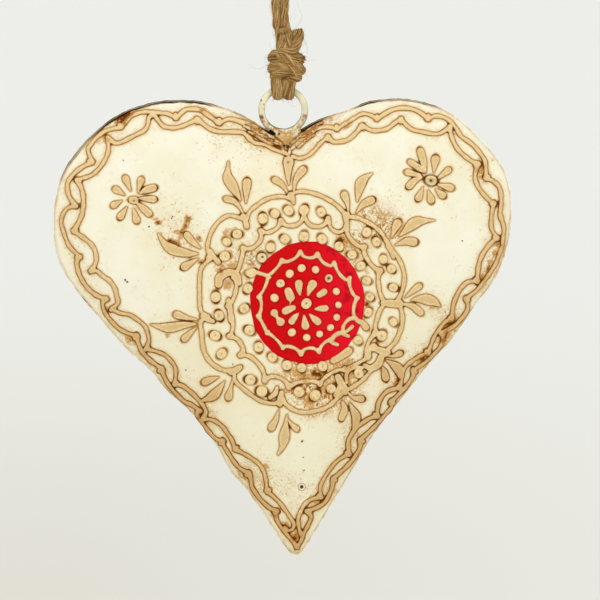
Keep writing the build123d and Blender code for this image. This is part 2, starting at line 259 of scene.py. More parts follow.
# Shader maths as plain expressions
class Socket:
    def __init__(self, paint, socket):
        self.paint = paint
        self.socket = socket

    def maths(self, operation, first, second=None):
        return self.paint.node("ShaderNodeMath", {"operation": operation}, {0: first, 1: second})

    def __add__(self, other):
        return self.maths("ADD", self, other)

    def __sub__(self, other):
        return self.maths("SUBTRACT", self, other)

    def __rsub__(self, other):
        return self.maths("SUBTRACT", other, self)

    def __mul__(self, other):
        return self.maths("MULTIPLY", self, other)

    def __truediv__(self, other):
        return self.maths("DIVIDE", self, other)

    def __pow__(self, other):
        return self.maths("POWER", self, other)

    __radd__ = __add__
    __rmul__ = __mul__

    def least(self, other):
        return self.maths("MINIMUM", self, other)

    def most(self, other):
        return self.maths("MAXIMUM", self, other)

    def rise(self, low, high):
        # 0 below low, 1 above high, smooth between
        inputs = {0: self, 1: low, 2: high, 3: 0, 4: 1}
        return self.paint.node("ShaderNodeMapRange", {"interpolation_type": "SMOOTHSTEP"}, inputs)

    def fall(self, low, high):
        return 1 - self.rise(low, high)

    def ridge(self, middle, width):
        # 1 where the value is middle, 0 beyond width from it
        off = self - middle
        return off.maths("ABSOLUTE", off).fall(0, width)


class Paint:
    def __init__(self, name, base=None):
        self.colour = colours.get(base)
        self.material = bpy.data.materials.new(name)
        self.material.use_nodes = True
        self.tree = self.material.node_tree
        self.tree.nodes.clear()
        self.place = self.node("ShaderNodeTexCoord", {}, {}, "Object")

    def node(self, kind, settings, inputs, output=0):
        made = self.tree.nodes.new(kind)
        for key, value in settings.items():
            setattr(made, key, value)
        for key, value in inputs.items():
            if isinstance(value, Socket):
                self.tree.links.new(value.socket, made.inputs[key])
            elif value is not None:
                made.inputs[key].default_value = value
        return Socket(self, made.outputs[output]) if made.outputs else None

    def attributes(self, *labels):
        return [self.node("ShaderNodeAttribute", {"attribute_name": label}, {}, "Fac") for label in labels]

    def noise(self, size, detail=3, roughness=0.6, place=None, distortion=0):
        inputs = {"Vector": place or self.place, "Scale": 1 / size, "Detail": detail, "Roughness": roughness}
        return self.node("ShaderNodeTexNoise", {}, {**inputs, "Distortion": distortion})

    def stretched(self, stretch, turn=(0, 0, 0)):
        return self.node("ShaderNodeMapping", {}, {"Vector": self.place, "Scale": stretch, "Rotation": turn})

    def mix(self, factor, first, second):
        return self.node("ShaderNodeMix", {"data_type": "RGBA"}, {0: factor, 6: first, 7: second}, 2)

    def bump(self, height, distance, strength=0.5):
        inputs = {"Height": height, "Distance": distance, "Strength": strength}
        return self.node("ShaderNodeBump", {}, inputs, "Normal")

    def places(self):
        # how far across and how far up
        axes = self.node("ShaderNodeSeparateXYZ", {}, {0: self.place})
        return axes, Socket(self, axes.socket.node.outputs["Z"])

    def away(self, px, across, up):
        # how far off a pixel of the photo, in pixels
        x, z = onFace(px)[0]
        return ((across - x) * (across - x) + (up - z) * (up - z)) ** 0.5 / photoScale

    def lay(self, factor, name):
        # one more colour over what is there
        self.colour = self.mix(factor, self.colour, colours[name])

    def finish(self, roughness, specular, normal=None):
        inputs = {"Base Color": self.colour, "Roughness": roughness, "Specular IOR Level": specular}
        shader = self.node("ShaderNodeBsdfPrincipled", {}, {**inputs, "Normal": normal})
        self.node("ShaderNodeOutputMaterial", {}, {"Surface": shader})
        return self.material


def tint(red, green, blue):
    # a colour as seen on screen, 0 to 255, to the shader's linear values
    parts = [c / 255 for c in (red, green, blue)]
    return tuple(c / 12.92 if c <= 0.04045 else ((c + 0.055) / 1.055) ** 2.4 for c in parts) + (1.0,)


colours = {
    "cream": tint(250, 246, 227),
    "creamDeep": tint(243, 236, 205),
    "creamWash": tint(244, 234, 202),
    "tan": tint(228, 199, 146),
    "tanLeaf": tint(220, 187, 132),
    "tanLight": tint(241, 217, 167),
    "tanDeep": tint(200, 156, 96),
    "tanWash": tint(222, 187, 126),
    "speck": tint(214, 172, 108),
    "orangeBrown": tint(202, 150, 78),
    "brown": tint(160, 98, 28),
    "darkBrown": tint(98, 48, 6),
    "black": tint(32, 17, 6),
    "red": tint(210, 3, 8),
    "redBright": tint(232, 10, 34),
    "redDeep": tint(150, 0, 12),
    "jute": tint(171, 131, 73),
    "juteDark": tint(108, 70, 26),
    "juteLight": tint(216, 184, 128),
    "juteWarm": tint(176, 112, 46),
    "ringCream": tint(228, 222, 188),
    "ringShade": tint(140, 144, 116),
}

# Camera and light
view = {
    "middlePx": (300, 300),
    "framePx": 600,
    "distance": 2.4,
    "sensor": 36.0,
    "planeDepth": 0.004,
}


def makeCamera():
    centreX, centreZ = onFace(view["middlePx"])[0]
    right = Vector((math.cos(lean), 0, -math.sin(lean)))
    up = Vector((math.sin(lean), 0, math.cos(lean)))
    back = Vector((0, -1, 0))
    bpy.ops.object.camera_add()
    camera = named("photoCamera")
    turn = Matrix((right, up, back)).transposed().to_4x4()
    place = (centreX, -view["distance"] - view["planeDepth"], centreZ)
    camera.matrix_world = Matrix.Translation(place) @ turn
    camera.data.sensor_width = view["sensor"]
    camera.data.lens = view["sensor"] * view["distance"] / (view["framePx"] * photoScale)
    camera.data.clip_end = 20
    bpy.context.scene.camera = camera


light = {
    "key": {"place": (-0.55, -1.3, 0.75), "size": 1.1, "watts": 9.6},
    "fill": {"place": (0.9, -1.2, 0.0), "size": 1.4, "watts": 7.2},
    "top": {"place": (0.1, -0.15, 1.1), "size": 0.8, "watts": 4.2},
    "side": {"place": (-1.4, -0.35, -0.15), "size": 1.2, "watts": 8.8},
    "right": {"place": (1.4, -0.45, -0.2), "size": 1.0, "watts": 7.0},
    "world": 0.66,
    "aim": (0, 0, -0.14),
    "pale": (237, 238, 233),
    "paleShaded": (226, 224, 214),
    "floorDrop": 0.13,
    "wallBack": 0.34,
    "wallSpread": 3.0,
    "cornerRound": 0.12,
}


def makeLights():
    for name in ("key", "fill", "top", "side", "right"):
        spec = light[name]
        bpy.ops.object.light_add(type="AREA", location=spec["place"])
        lamp = named(name + "Light")
        lamp.data.size = spec["size"]
        lamp.data.energy = spec["watts"]
        aim = Vector(light["aim"]) - Vector(spec["place"])
        lamp.rotation_euler = aim.to_track_quat("-Z", "Y").to_euler()
    world = bpy.data.worlds.new("studio")
    world.use_nodes = True
    colour, strength = world.node_tree.nodes["Background"].inputs[:2]
    colour.default_value, strength.default_value = (1, 1, 1, 1), light["world"]
    bpy.context.scene.world = world


def backdropPaint():
    paint = Paint("paleBackdrop")
    straight = paint.node("ShaderNodeLightPath", {}, {}, "Is Camera Ray")
    rays = straight.socket.node.outputs
    mirrored, through = Socket(paint, rays["Is Glossy Ray"]), Socket(paint, rays["Is Transmission Ray"])
    seen = straight.most(mirrored).most(through)
    across, up = paint.places()
    # painted shade: the backdrop's colour turns darker towards the bottom left
    low = up.fall(-0.24, -0.1) * (across * -3 + 0.75).most(0).least(1)
    pale = paint.mix(low, tint(*light["pale"]), tint(*light["paleShaded"]))
    matt = paint.node("ShaderNodeBsdfDiffuse", {}, {"Color": pale})
    glow = paint.node("ShaderNodeEmission", {}, {"Color": pale, "Strength": 1.0})
    shade = paint.node("ShaderNodeMixShader", {}, {0: seen * 0.93, 1: matt, 2: glow})
    # a camera outside the walls looks in through them
    outside = paint.node("ShaderNodeNewGeometry", {}, {}, "Backfacing") * straight
    clear = paint.node("ShaderNodeBsdfTransparent", {}, {})
    shade = paint.node("ShaderNodeMixShader", {}, {0: outside, 1: shade, 2: clear})
    paint.node("ShaderNodeOutputMaterial", {}, {"Surface": shade})
    return paint.material


def makeBackdrop():
    # a floor that curves up into a wall on every side
    spread, back = light["wallSpread"], light["wallBack"]
    floor = cadBox[0].z - light["floorDrop"]
    clearSelection()
    bpy.ops.mesh.primitive_plane_add(size=1)
    sweep = named("backdrop")
    bpy.ops.object.mode_set(mode="EDIT")
    bpy.ops.mesh.select_all(action="SELECT")
    bpy.ops.transform.resize(value=(2 * spread, spread, 1))
    bpy.ops.transform.translate(value=(0, back - spread / 2, floor))
    bpy.ops.mesh.extrude_region_move(TRANSFORM_OT_translate={"value": (0, 0, spread)})
    bpy.ops.mesh.select_all(action="SELECT")
    bpy.ops.mesh.normals_make_consistent(inside=True)
    bpy.ops.object.mode_set(mode="OBJECT")
    bend = sweep.modifiers.new("bend", "BEVEL")
    bend.width = light["cornerRound"]
    bend.segments = 12
    applyAll(sweep)
    bpy.ops.object.shade_smooth()
    sweep.data.materials.append(backdropPaint())


makeCamera()
makeLights()
makeBackdrop()
bpy.context.scene.view_settings.view_transform = "Standard"
print("camera, lights and backdrop made")

# Piped trails: each stroke runs from its cusp to the next stroke's first point
borderOuterLeft = [
    [(243, 123), (230, 119)], [(219, 123), (213, 119), (205, 113), (200, 110), (193, 109), (185, 110)],
    [(176, 118), (168, 114), (160, 113), (150, 112), (142, 112), (135, 114), (130, 117)],
    [(121, 127), (108, 130), (102, 133), (96, 138), (91, 144), (88, 150)],
    [(92, 162), (86, 165), (78, 170), (72, 176), (68, 182), (67.5, 190), (70, 198)],
    [(76, 206), (68, 208), (63, 214), (61, 222), (63, 230), (66, 239), (70, 247)],
    [(80, 257), (77, 262), (78, 270), (81, 278), (86, 286), (93, 293), (100, 297)],
    [(106, 299), (103, 303), (104, 310), (108, 317), (114, 324), (121, 330), (130, 334)],
    [(137, 336), (138, 342), (141, 349), (145, 355), (151, 361)],
    [(162, 369), (163, 374), (167, 382), (172, 389), (178, 396), (185, 402), (192, 405)],
    [(200, 411), (197, 415), (203, 424), (209, 432), (216, 439)],
    [(223, 441), (224, 446), (229, 454), (235, 463), (241, 469)],
    [(249, 473), (251, 480), (252, 487), (257, 495), (263, 502), (270, 508)],
    [(277, 511), (276, 517), (279, 524), (284, 531), (289, 537), (294, 543), (297, 547)],
]
borderOuterRight = [
    [(303, 135), (310, 131), (318, 128), (328, 127)],
    [(337, 129), (345, 124), (353, 119), (362, 114), (370, 115)],
    [(377, 119), (383, 115), (392, 110), (402, 108), (412, 109), (421, 113)],
    [(428, 119), (435, 116), (443, 117), (450, 121), (456, 128), (461, 136), (468, 141), (474, 146),
     (480, 153), (485, 161), (486, 170)],
    [(486, 178), (493, 181), (499, 187), (501, 195), (501, 205), (500, 213)],
    [(501, 218), (504, 228), (503, 238), (502, 247), (499, 255), (496, 263), (492, 270), (487, 277),
     (482, 284), (477, 290), (472, 294)],
    [(466, 299), (468, 306), (466, 313), (461, 319), (454, 326)],
    [(441, 333), (443, 340), (440, 347), (434, 354), (427, 361), (420, 366)],
    [(413, 370), (413, 376), (408, 384), (402, 391)],
    [(391, 402), (391, 408), (385, 415), (378, 423), (370, 431)],
    [(360, 440), (360, 447), (356, 455), (350, 463), (343, 470)],
    [(333, 479), (332, 487), (329, 495), (325, 502), (318, 507)],
    [(307, 511), (311, 517), (308, 525), (304, 533), (301, 541), (297, 547)],
]
borderInnerLeft = [
    [(285, 153), (275, 150), (265, 145), (255, 143)],
    [(250, 139), (243, 133), (230, 132), (220, 132), (210, 129), (203, 124)],
    [(197.5, 119.5), (190, 123), (183, 126), (175, 128), (168, 127.5), (162, 125)],
    [(153, 113), (149, 118), (148, 124), (145, 130), (138, 134), (130, 138), (122, 142), (115, 143)],
    [(108, 138), (108.5, 150), (106, 158), (102, 165), (97, 171), (90, 176)],
    [(77, 180), (80, 185), (82, 190), (83.5, 197), (83.5, 205), (82.5, 213), (80, 220)],
    [(74, 231), (78, 234), (85, 239), (91, 244), (95, 250), (96.5, 257), (96, 263)],
    [(91.5, 271), (97, 271), (103, 276), (110, 281), (115, 288), (117, 296), (118, 303)],
    [(112, 309), (120, 313), (130, 315), (138, 320), (145, 326), (148, 333), (149, 341)],
    [(146, 349), (155, 351), (165, 355), (172, 362), (176, 370)],
    [(175, 384), (183, 386), (192, 393), (199, 400), (203, 405), (206, 412)],
    [(203, 419), (213, 420), (222, 426), (228, 434), (232, 440)],
    [(235, 449), (243, 453), (253, 459), (260, 465), (264, 472), (266, 480)],
    [(267, 491), (273, 496), (280, 503), (286, 511), (291, 518.5), (294, 524), (292.5, 529), (288, 530.5),
     (285.5, 528)],
]
borderInnerRight = [
    [(293, 157), (300, 158.5), (308, 156), (315, 150), (320, 144)],
    [(328, 137), (333, 142), (340, 142), (348, 140), (355, 134)],
    [(362, 126), (370, 130), (377, 131), (387, 129), (395, 123)],
    [(401, 119), (406, 125), (413, 130), (422, 132), (433, 134), (441, 133)],
    [(450, 127), (451, 135), (455, 145), (460, 152), (467, 158), (473, 162)],
    [(478, 164), (476, 170), (475, 178), (478, 187), (484, 195), (490, 201)],
    [(494, 203), (492, 212), (491, 222), (492, 230)],
    [(497, 238), (490, 244), (484, 252), (480, 260), (478, 270)],
    [(477, 281), (468, 282), (461, 288), (456, 297), (453, 306)],
    [(451.5, 319), (445, 322), (440, 328), (435, 335), (432, 342)],
    [(428, 353), (420, 356), (412, 361), (405, 367), (402, 375)],
    [(400, 388), (393, 389), (386, 392), (381, 398), (378, 405)],
    [(377, 416), (370, 418), (362, 423), (356, 428), (351, 435), (348, 442)],
    [(349, 454), (341, 458), (334, 464), (328, 472), (323, 480), (320, 488)],
    [(321, 497), (312, 499), (305, 504), (301, 511), (298, 519), (299, 528), (301, 534)],
]
medallionOutline = [
    [(290, 198), (295, 193), (305, 192), (320, 196), (333, 203), (341, 210)],
    [(346, 217), (357, 218), (370, 224), (380, 232), (386, 241)],
    [(391, 250), (397, 257), (402, 267), (404, 278), (402, 290)],
    [(397, 302), (401, 310), (402, 322), (399, 333), (394, 343)],
    [(383, 353), (378, 363), (371, 370), (362, 380), (352, 387)],
    [(344, 391), (337, 398), (328, 406), (318, 410), (305, 412), (295, 410), (286, 404)],
    [(282, 398), (275, 403), (262, 401), (252, 395), (243, 388), (235, 380)],
    [(235, 370), (224, 370), (213, 364), (206, 355), (203, 345), (202, 333), (201, 322)],
    [(208, 317), (201, 310), (200, 295), (200, 280), (202, 268)],
    [(211, 258), (208, 250), (209, 240), (213, 230), (220, 221), (230, 216)],
    [(246, 220), (250, 212), (258, 205), (268, 199), (280, 197), (290, 198)],
]
medallionTails = [
    [(243.5, 217, 3.2), (245.5, 221, 2.8), (246.8, 226, 3)],
    [(210.5, 252, 3), (214, 257, 2.8), (218.4, 262, 3)], [(203.6, 316.5, 3), (208, 319, 3), (213, 321, 2.4)],
    [(232, 372, 3.2), (236, 370, 3.6), (240, 367.5, 2.8)],
    [(280, 403, 3.4), (280.5, 398, 3.4), (281.5, 392.5, 2.6)],
    [(336, 394, 3), (339, 388, 2.8), (341, 382, 2.4)], [(387, 352, 3.4), (382, 351, 4), (376.5, 349, 3.6)],
    [(381, 357, 3.6), (378, 364, 4), (371, 368, 3.4), (365, 365.5, 2.6)],
    [(399, 304, 4.2), (392, 303.5, 4.2), (384, 303, 3.6)], [(345, 389, 3.6), (341, 383, 4), (338, 377, 3.4)],
    [(388, 246.5, 2.8), (391.5, 251.5, 3), (393, 257, 2.2)],
    [(344.5, 214, 2.8), (346, 220, 3), (346.6, 225, 2.4)],
    [(291, 196, 3.6), (292.5, 200, 2.8), (293.5, 203, 1.6)],
]
scallopDrips = [
    [(219, 284, 3.8), (220, 278, 4.2), (226, 273.5, 4), (233, 272.5, 3.4), (238, 276, 3), (239.5, 283, 2.6)],
    [(229, 301, 2.8), (230.5, 310, 3), (231, 320, 2.6)], [(277, 388, 2), (275.5, 393, 3), (270.5, 397, 2.4)],
    [(346.5, 382, 1.8), (346, 375, 2), (349, 369.5, 2.2), (355, 367, 2), (361.5, 367.5, 2.2)],
    [(370, 347, 2), (369, 355, 2.2)],
]


def scallops(px):
    # tip, crest, tip and so on: each arc a U from one tip to the next
    arcs = []
    for i in range(0, len(px) - 2, 2):
        tip, crest, end = (np.array(p, float) for p in px[i : i + 3])
        t = np.linspace(0, 1, 9)[:-1, None]
        sag = (crest - (tip + end) / 2) * (1 - np.abs(2 * t - 1) ** 2.8)
        arcs.append((tip + (end - tip) * t + sag).tolist())
    return arcs + [[px[-1]]]


medallionScallop = scallops([
    (304, 217), (316, 227), (328, 219), (335, 231.5), (346, 227), (352, 241), (364, 247),
    (368, 261), (380, 271), (378.5, 287), (385, 303), (377, 318), (376, 333), (367.5, 345),
    (368, 357), (357, 363.5), (345, 370), (331, 373), (320, 384), (305, 381), (289, 387),
    (278, 377), (265, 380), (257, 362), (241, 355), (241.5, 344), (230, 336), (233, 321),
    (228, 306), (236, 291), (234, 277), (241, 262), (243, 248), (257, 245), (261, 231),
    (273, 231), (281, 221), (293, 226), (304, 217),
])
centreScallop = scallops([
    (300.3, 252), (308.5, 258), (317.5, 254), (326, 264.5), (334, 263), (342, 277), (349.5, 278),
    (351, 290), (357.5, 298), (353.5, 308), (355, 318), (345, 323), (344, 334), (336, 334),
    (331, 341), (324, 343), (319, 352), (309, 348), (301, 354), (292, 347), (283, 348),
    (275, 338), (267, 333), (263, 324), (258, 316), (261.5, 306), (258.5, 297), (265.5, 286),
    (267.5, 276), (276, 269), (282, 260), (291, 260.5), (300.3, 252),
])
centreStrays = [
    [(268.5, 276.5, 2), (262, 274, 2.1), (255, 272.5, 2.5), (249, 273, 3.6)],
    [(354, 317, 2.2), (358, 321, 2.6), (362, 322.5, 3), (365.5, 327, 3.6)],
    [(343, 333, 2), (348, 330, 1.9), (352, 326.5, 2)],
    [(340, 333, 2.2), (334, 336, 2.3), (332, 342, 2.3), (337, 344.5, 2)], [(343, 334, 2), (348, 336, 1.9)],
]

# Dots by middle and half width, in pixels
outerDots = [
    (263, 219, 5.3), (275, 214, 4.7), (288.5, 211, 4.8), (304, 210.5, 4.9), (321, 212.5, 4.9),
    (237.5, 234.5, 4.8), (227, 242, 4.3), (225, 256.5, 5.2), (216, 297, 5), (219.5, 315.5, 5),
    (215.5, 335.5, 5), (222, 353.5, 5), (250.5, 379.5, 5.2), (262, 391, 5.4), (299, 391.5, 5.4),
    (315, 395, 5.4), (331, 388.5, 4.8), (358.5, 373, 5), (381.5, 335.5, 5), (373, 347, 4.2), (393, 322, 4.3),
    (393, 287.5, 4.5), (391, 269, 4.5), (383, 259.5, 4.3), (376, 242, 4.6), (366.5, 232.5, 4.8),
]
innerDots = [
    (304, 237, 5), (285, 239.5, 5), (270.8, 247.5, 4.8), (262, 258, 5), (252, 273, 4.8), (248.2, 288.5, 5),
    (244.5, 308.5, 5.1), (249.8, 330.3, 5.2), (258.8, 347, 5.2), (272.5, 357, 4.8), (287, 365, 5),
    (301.5, 367.5, 4.8), (322.5, 366, 5), (357.8, 340, 4.6), (367.8, 312.3, 4.5), (369.5, 297, 4.5),
    (366.3, 281, 4.4), (360.6, 266.2, 4.6), (351.8, 255, 4.7), (339, 246.5, 4.8), (322, 239.5, 5),
]
innerBar = [(334, 360, 3.6), (341, 356, 3.8), (348, 351, 4.2)]
centreDots = [
    (280.5, 283.6, 4.2), (289.7, 273.9, 4.2), (301.6, 268.3, 4), (315.5, 269.8, 3.9), (328.7, 278.5, 4),
    (336.1, 291.5, 3.6), (338.2, 305, 3.4), (336.6, 317.2, 3.6), (330.3, 327.4, 3.5), (319.5, 333.9, 3.6),
    (306.7, 337.4, 3.8), (291.9, 332.3, 4), (274.6, 297.9, 4.2), (306.3, 303.6, 5.3),
]
centreDumbbell = [(274.6, 313.2, 4), (277, 317, 1.8), (280.5, 321.6, 4.3)]

# Petals, leaves and drops as points with a half width, in pixels
centrePetals = [
    [(300, 294.5, 1.2), (299, 289, 3.2), (298.8, 284, 4.1)],
    [(308, 295, 1.2), (310, 289, 3.5), (312.5, 284.5, 4.6)],
    [(315.5, 309, 1.3), (320, 308.6, 2.9), (325, 308.3, 3.6)],
    [(309.8, 314.3, 1), (314, 318.5, 3.1), (317.5, 321.5, 3.7)],
    [(304, 315.5, 1.2), (304.5, 320, 2.6), (305.3, 325.5, 4.1)],
    [(298.3, 313.3, 1), (295, 317, 3), (292, 321, 3.8)],
    [(293, 307.8, 2.9), (288.5, 309.5, 3.8), (285.5, 311, 3.7)], [(288.4, 291.5, 4), (290.5, 297, 4.4)],
    [(291, 300, 1.1), (290, 304.5, 0.6)], [(319.5, 294.8, 3), (323.8, 292, 3.4)],
]
sprigLeaves = [
    [(240.5, 200, 1), (236.5, 193, 3.4), (232, 185, 5.2), (228, 178, 4.8), (228, 170, 2.2),
     (228.5, 163, 1.4)],
    [(289, 184.5, 1), (288.3, 177.5, 2.6), (288.2, 169.5, 4.1), (288.5, 162.5, 5.8)],
    [(357, 201, 1), (359, 190, 4), (361, 183, 5), (366, 177.5, 3), (371.5, 174, 1)],
    [(399.5, 236, 1), (405, 231, 3.2), (411, 225.5, 5.4), (417, 222, 5.3), (424, 221, 3), (434, 220.5, 1)],
    [(411.5, 300, 1), (418, 299, 3.3), (427, 299.5, 5.5), (434, 302, 4.1), (439, 305.5, 1.6)],
    [(386.5, 360.5, 1), (391, 363, 2.6), (397.5, 368, 5), (400.5, 374, 4), (401.5, 381, 1.2)],
    [(349.5, 403, 1), (352.5, 409, 3), (356, 416, 4.8), (355.5, 423, 3.8), (352.5, 433, 1)],
    [(287, 415, 1), (286, 424, 2.6), (284.5, 436, 5.4), (282.5, 446, 3), (278.5, 453.5, 1.3)],
    [(224.5, 381.5, 1), (220, 388, 3.2), (214.5, 394.5, 5), (208, 398.5, 3.3), (200.5, 400.8, 1)],
    [(195, 324, 1.6), (184, 325, 3.8), (170, 327.5, 5.2), (160, 326.5, 3), (151.5, 324.5, 1)],
    [(197, 254, 1.4), (187, 253.5, 4), (173, 249.5, 5.5), (165, 243.5, 3.4), (158.5, 234, 1)],
]
sprigDrops = [
    [(246, 203, 0.9), (246.5, 192, 3.2), (247, 183.5, 4.5)],
    [(243, 213, 1.2), (239.5, 207, 1.8), (234, 201.5, 3), (227.5, 199.5, 3.6)],
    [(287, 192.5, 1.2), (285, 189, 1.8), (281, 184, 2.9), (275.5, 180.5, 3.6)],
    [(294, 191, 1.3), (295, 183, 2.1), (298, 176.5, 3.5), (302.5, 171, 4.3)],
    [(348, 214, 1), (347.5, 205, 2), (344.5, 196, 4.1)],
    [(356.5, 212.5, 0.9), (361, 207, 2.4), (365, 203.5, 3.6), (370.5, 201, 4.2)],
    [(391.5, 237.5, 0.9), (394, 230, 3), (397, 224, 4.4)],
    [(395.5, 245, 1), (402, 242.8, 2.6), (407, 241.3, 3.8), (412.5, 242, 4.5)],
    [(405.5, 297, 1), (412, 291.5, 2.6), (418, 286.8, 3.7)],
    [(402, 304, 1.3), (408, 305, 2.2), (413.5, 306.8, 3.4), (419.5, 312, 3.7)],
    [(387, 355.5, 1), (393, 356, 2), (399, 353.5, 3.5)],
    [(382.3, 367, 1), (384.3, 372, 3.2), (385.3, 377, 3.9)],
    [(347.5, 392, 1.2), (353.5, 397.5, 2), (360.5, 398.5, 3.8)],
    [(342.5, 402, 1.5), (344.5, 409, 3.5), (341.5, 417.5, 3.4)],
    [(278.5, 411, 1), (276, 419, 2.6), (272, 426.5, 3.9)],
    [(288, 419, 1), (291.5, 424, 2.2), (296, 428, 3.5)],
    [(218.5, 377, 0.9), (212, 379, 3), (206, 381.5, 4.2)], [(233, 381, 1.3), (231, 388, 2), (229, 396, 4)],
    [(197, 319.5, 1), (188, 318, 2.5), (178, 315, 4.2)],
    [(196, 328, 1.2), (191, 332.5, 2.6), (185.5, 338, 4)],
    [(200, 248, 1.2), (193, 242, 3.4), (187.5, 235.5, 3.7)],
    [(198, 259, 1.1), (192, 262.5, 2.6), (185.5, 266.5, 4.2)],
]
leftFlower = [
    [(130.8, 190.5, 1), (126.2, 179.5, 3.8)], [(138.5, 192, 1), (141.3, 181, 3.9)],
    [(140.5, 193.5, 1), (146, 190.5, 3.4), (153, 188.5, 4.2)],
    [(139.5, 198.5, 1), (146, 199, 2.8), (153.5, 199.7, 3.8)],
    [(137, 203, 1.2), (143, 208, 3.2), (149, 213.5, 3.8)], [(133.9, 209.4, 1.2), (136.9, 219.8, 4)],
    [(126.7, 207.9, 1.2), (121.3, 216.2, 3.9)], [(121.6, 201.2, 1), (114.8, 205, 3.7)],
    [(124.7, 195.1, 1), (116.8, 190, 3.9)], [(132.6, 200.2, 3.6), (134.4, 200.4, 4.2)],
]
rightFlower = [
    [(424.5, 171, 2), (423, 161.4, 3.5), (420.4, 152, 3.9)],
    [(423, 171, 2.4), (418.5, 168, 3.6), (410.5, 162.6, 3.3)], [(433.7, 171.6, 1), (435.2, 160, 4.5)],
    [(438.8, 177.8, 1.6), (447.6, 170.9, 3.6)], [(438.8, 184.9, 1.5), (449.6, 187.8, 4)],
    [(436.7, 190.5, 1.6), (441.8, 195.1, 3.9)], [(428.1, 191, 1), (430.6, 199.8, 4.1)],
    [(422.4, 188, 1), (418.4, 197.8, 3.8)], [(420.4, 177.8, 2), (413.8, 181.3, 3.4), (409.4, 186, 3.9)],
    [(418.5, 175.5, 2.4), (407.6, 172.7, 3.4)], [(429.6, 180.6, 4.8), (431.4, 180.8, 5.2)],
]

relief = {
    "trail": 0.7,
    "fineTrail": 0.58,
    "cuspSwell": 0.22,
    "cuspReach": 1.3,
    "webReach": 0.62,
    "tipReach": 0.22,
    "step": 0.3,
    "voxel": 0.18,
    "crown": 0.62,
    "sink": 0.12,
    "unevenness": 0.05,
    "cell": 0.12,
    "margin": 2,
    "aboveCleft": 0.016,
    "farGap": 3.0,
    "seenGap": 2.4,
    "nookBlur": 0.7,
    "aroundBlur": 7.0,
}
dice = random.Random(21)
reliefPoints = []


def inMillimetres(px):
    return onFace(px) / millimetre


def alongLine(line):
    gaps = np.linalg.norm(np.diff(line, axis=0), axis=1)
    return np.concatenate([[0], np.cumsum(gaps)])


def roundEnds(stroke):
    # carry each end on by its own half width, closing as a half circle
    closing = np.array([0.4, 0.7, 0.9, 0.98])
    ends = []
    for tip, inner in ((stroke[0], stroke[1]), (stroke[-1], stroke[-2])):
        out = tip[:2] - inner[:2]
        out = out / max(np.linalg.norm(out), 1e-9)
        reach = closing[:, None] * tip[2]
        ends.append(np.column_stack([tip[:2] + out * reach, tip[2] * np.sqrt(1 - closing**2)]))
    return np.vstack([ends[0][::-1], stroke, ends[1]])


def trailStrokes(table, half):
    # strokes from cusp to cusp, with a web and a blunt tip at each cusp
    lines = []
    for i, px in enumerate(table):
        follow = [table[i + 1][0]] if i + 1 < len(table) else []
        points = list(px) + follow
        if len(points) > 1:
            lines.append(smoothLine(inMillimetres(points), relief["step"]))
    made = []
    for line in lines:
        far = alongLine(line)
        ends = np.minimum(far, far[-1] - far)
        swell = 1 + relief["cuspSwell"] * np.exp(-((ends / relief["cuspReach"]) ** 2))
        sway = 1 + 0.09 * np.sin(far * (0.9 + dice.random()) + 6 * dice.random())
        width = half * (0.92 + 0.16 * dice.random()) * swell * sway
        made.append(roundEnds(np.column_stack([line, width])))
    for before, after in zip(lines, lines[1:]):
        if np.linalg.norm(before[-1] - after[0]) > relief["step"]:
            continue
        cusp = after[0]
        back = before[max(len(before) - 7, 0)] - cusp
        ahead = after[min(6, len(after) - 1)] - cusp
        inward = back / np.linalg.norm(back) + ahead / np.linalg.norm(ahead)
        if np.linalg.norm(inward) < 0.35:
            continue
        inward = inward / np.linalg.norm(inward)
        t = np.linspace(-relief["tipReach"], relief["webReach"] * (0.8 + 0.5 * dice.random()), 8)
        width = half * np.interp(t, [-relief["tipReach"], 0, relief["webReach"]], [0.85, 1.05, 1.25])
        made.append(roundEnds(np.column_stack([cusp + t[:, None] * inward, width])))
    return made


def blobStroke(px):
    # a stroke through points that each give their own half width
    table = np.asarray(px, float)
    line = inMillimetres(table[:, :2])
    half = table[:, 2] * photoScale / millimetre * (0.96 + 0.08 * dice.random())
    whole = smoothLine(np.column_stack([line, half]), relief["step"] * 0.7)
    whole[:, 2] = np.maximum(whole[:, 2], 0.2)
    return roundEnds(whole)


def dotStroke(dot):
    x, z = inMillimetres(dot[:2])[0]
    half = dot[2] * photoScale / millimetre * (0.96 + 0.07 * dice.random())
    turn = dice.random() * math.pi
    s = np.linspace(-1, 1, 13)
    reach = s * half * (1 + 0.1 * dice.random())
    width = half * np.sqrt(np.maximum(1 - s**2, 0.004))
    return np.column_stack([x + reach * math.cos(turn), z + reach * math.sin(turn), width])


fieldTop = cleftHeight + relief["aboveCleft"]
fieldEdge = np.array([cadBox[0].x, cadBox[0].z]) / millimetre - relief["margin"]
fieldCells = [
    int(((high - low) / millimetre + 2 * relief["margin"]) / relief["cell"])
    for low, high in ((cadBox[0].x, cadBox[1].x), (cadBox[0].z, fieldTop))
]


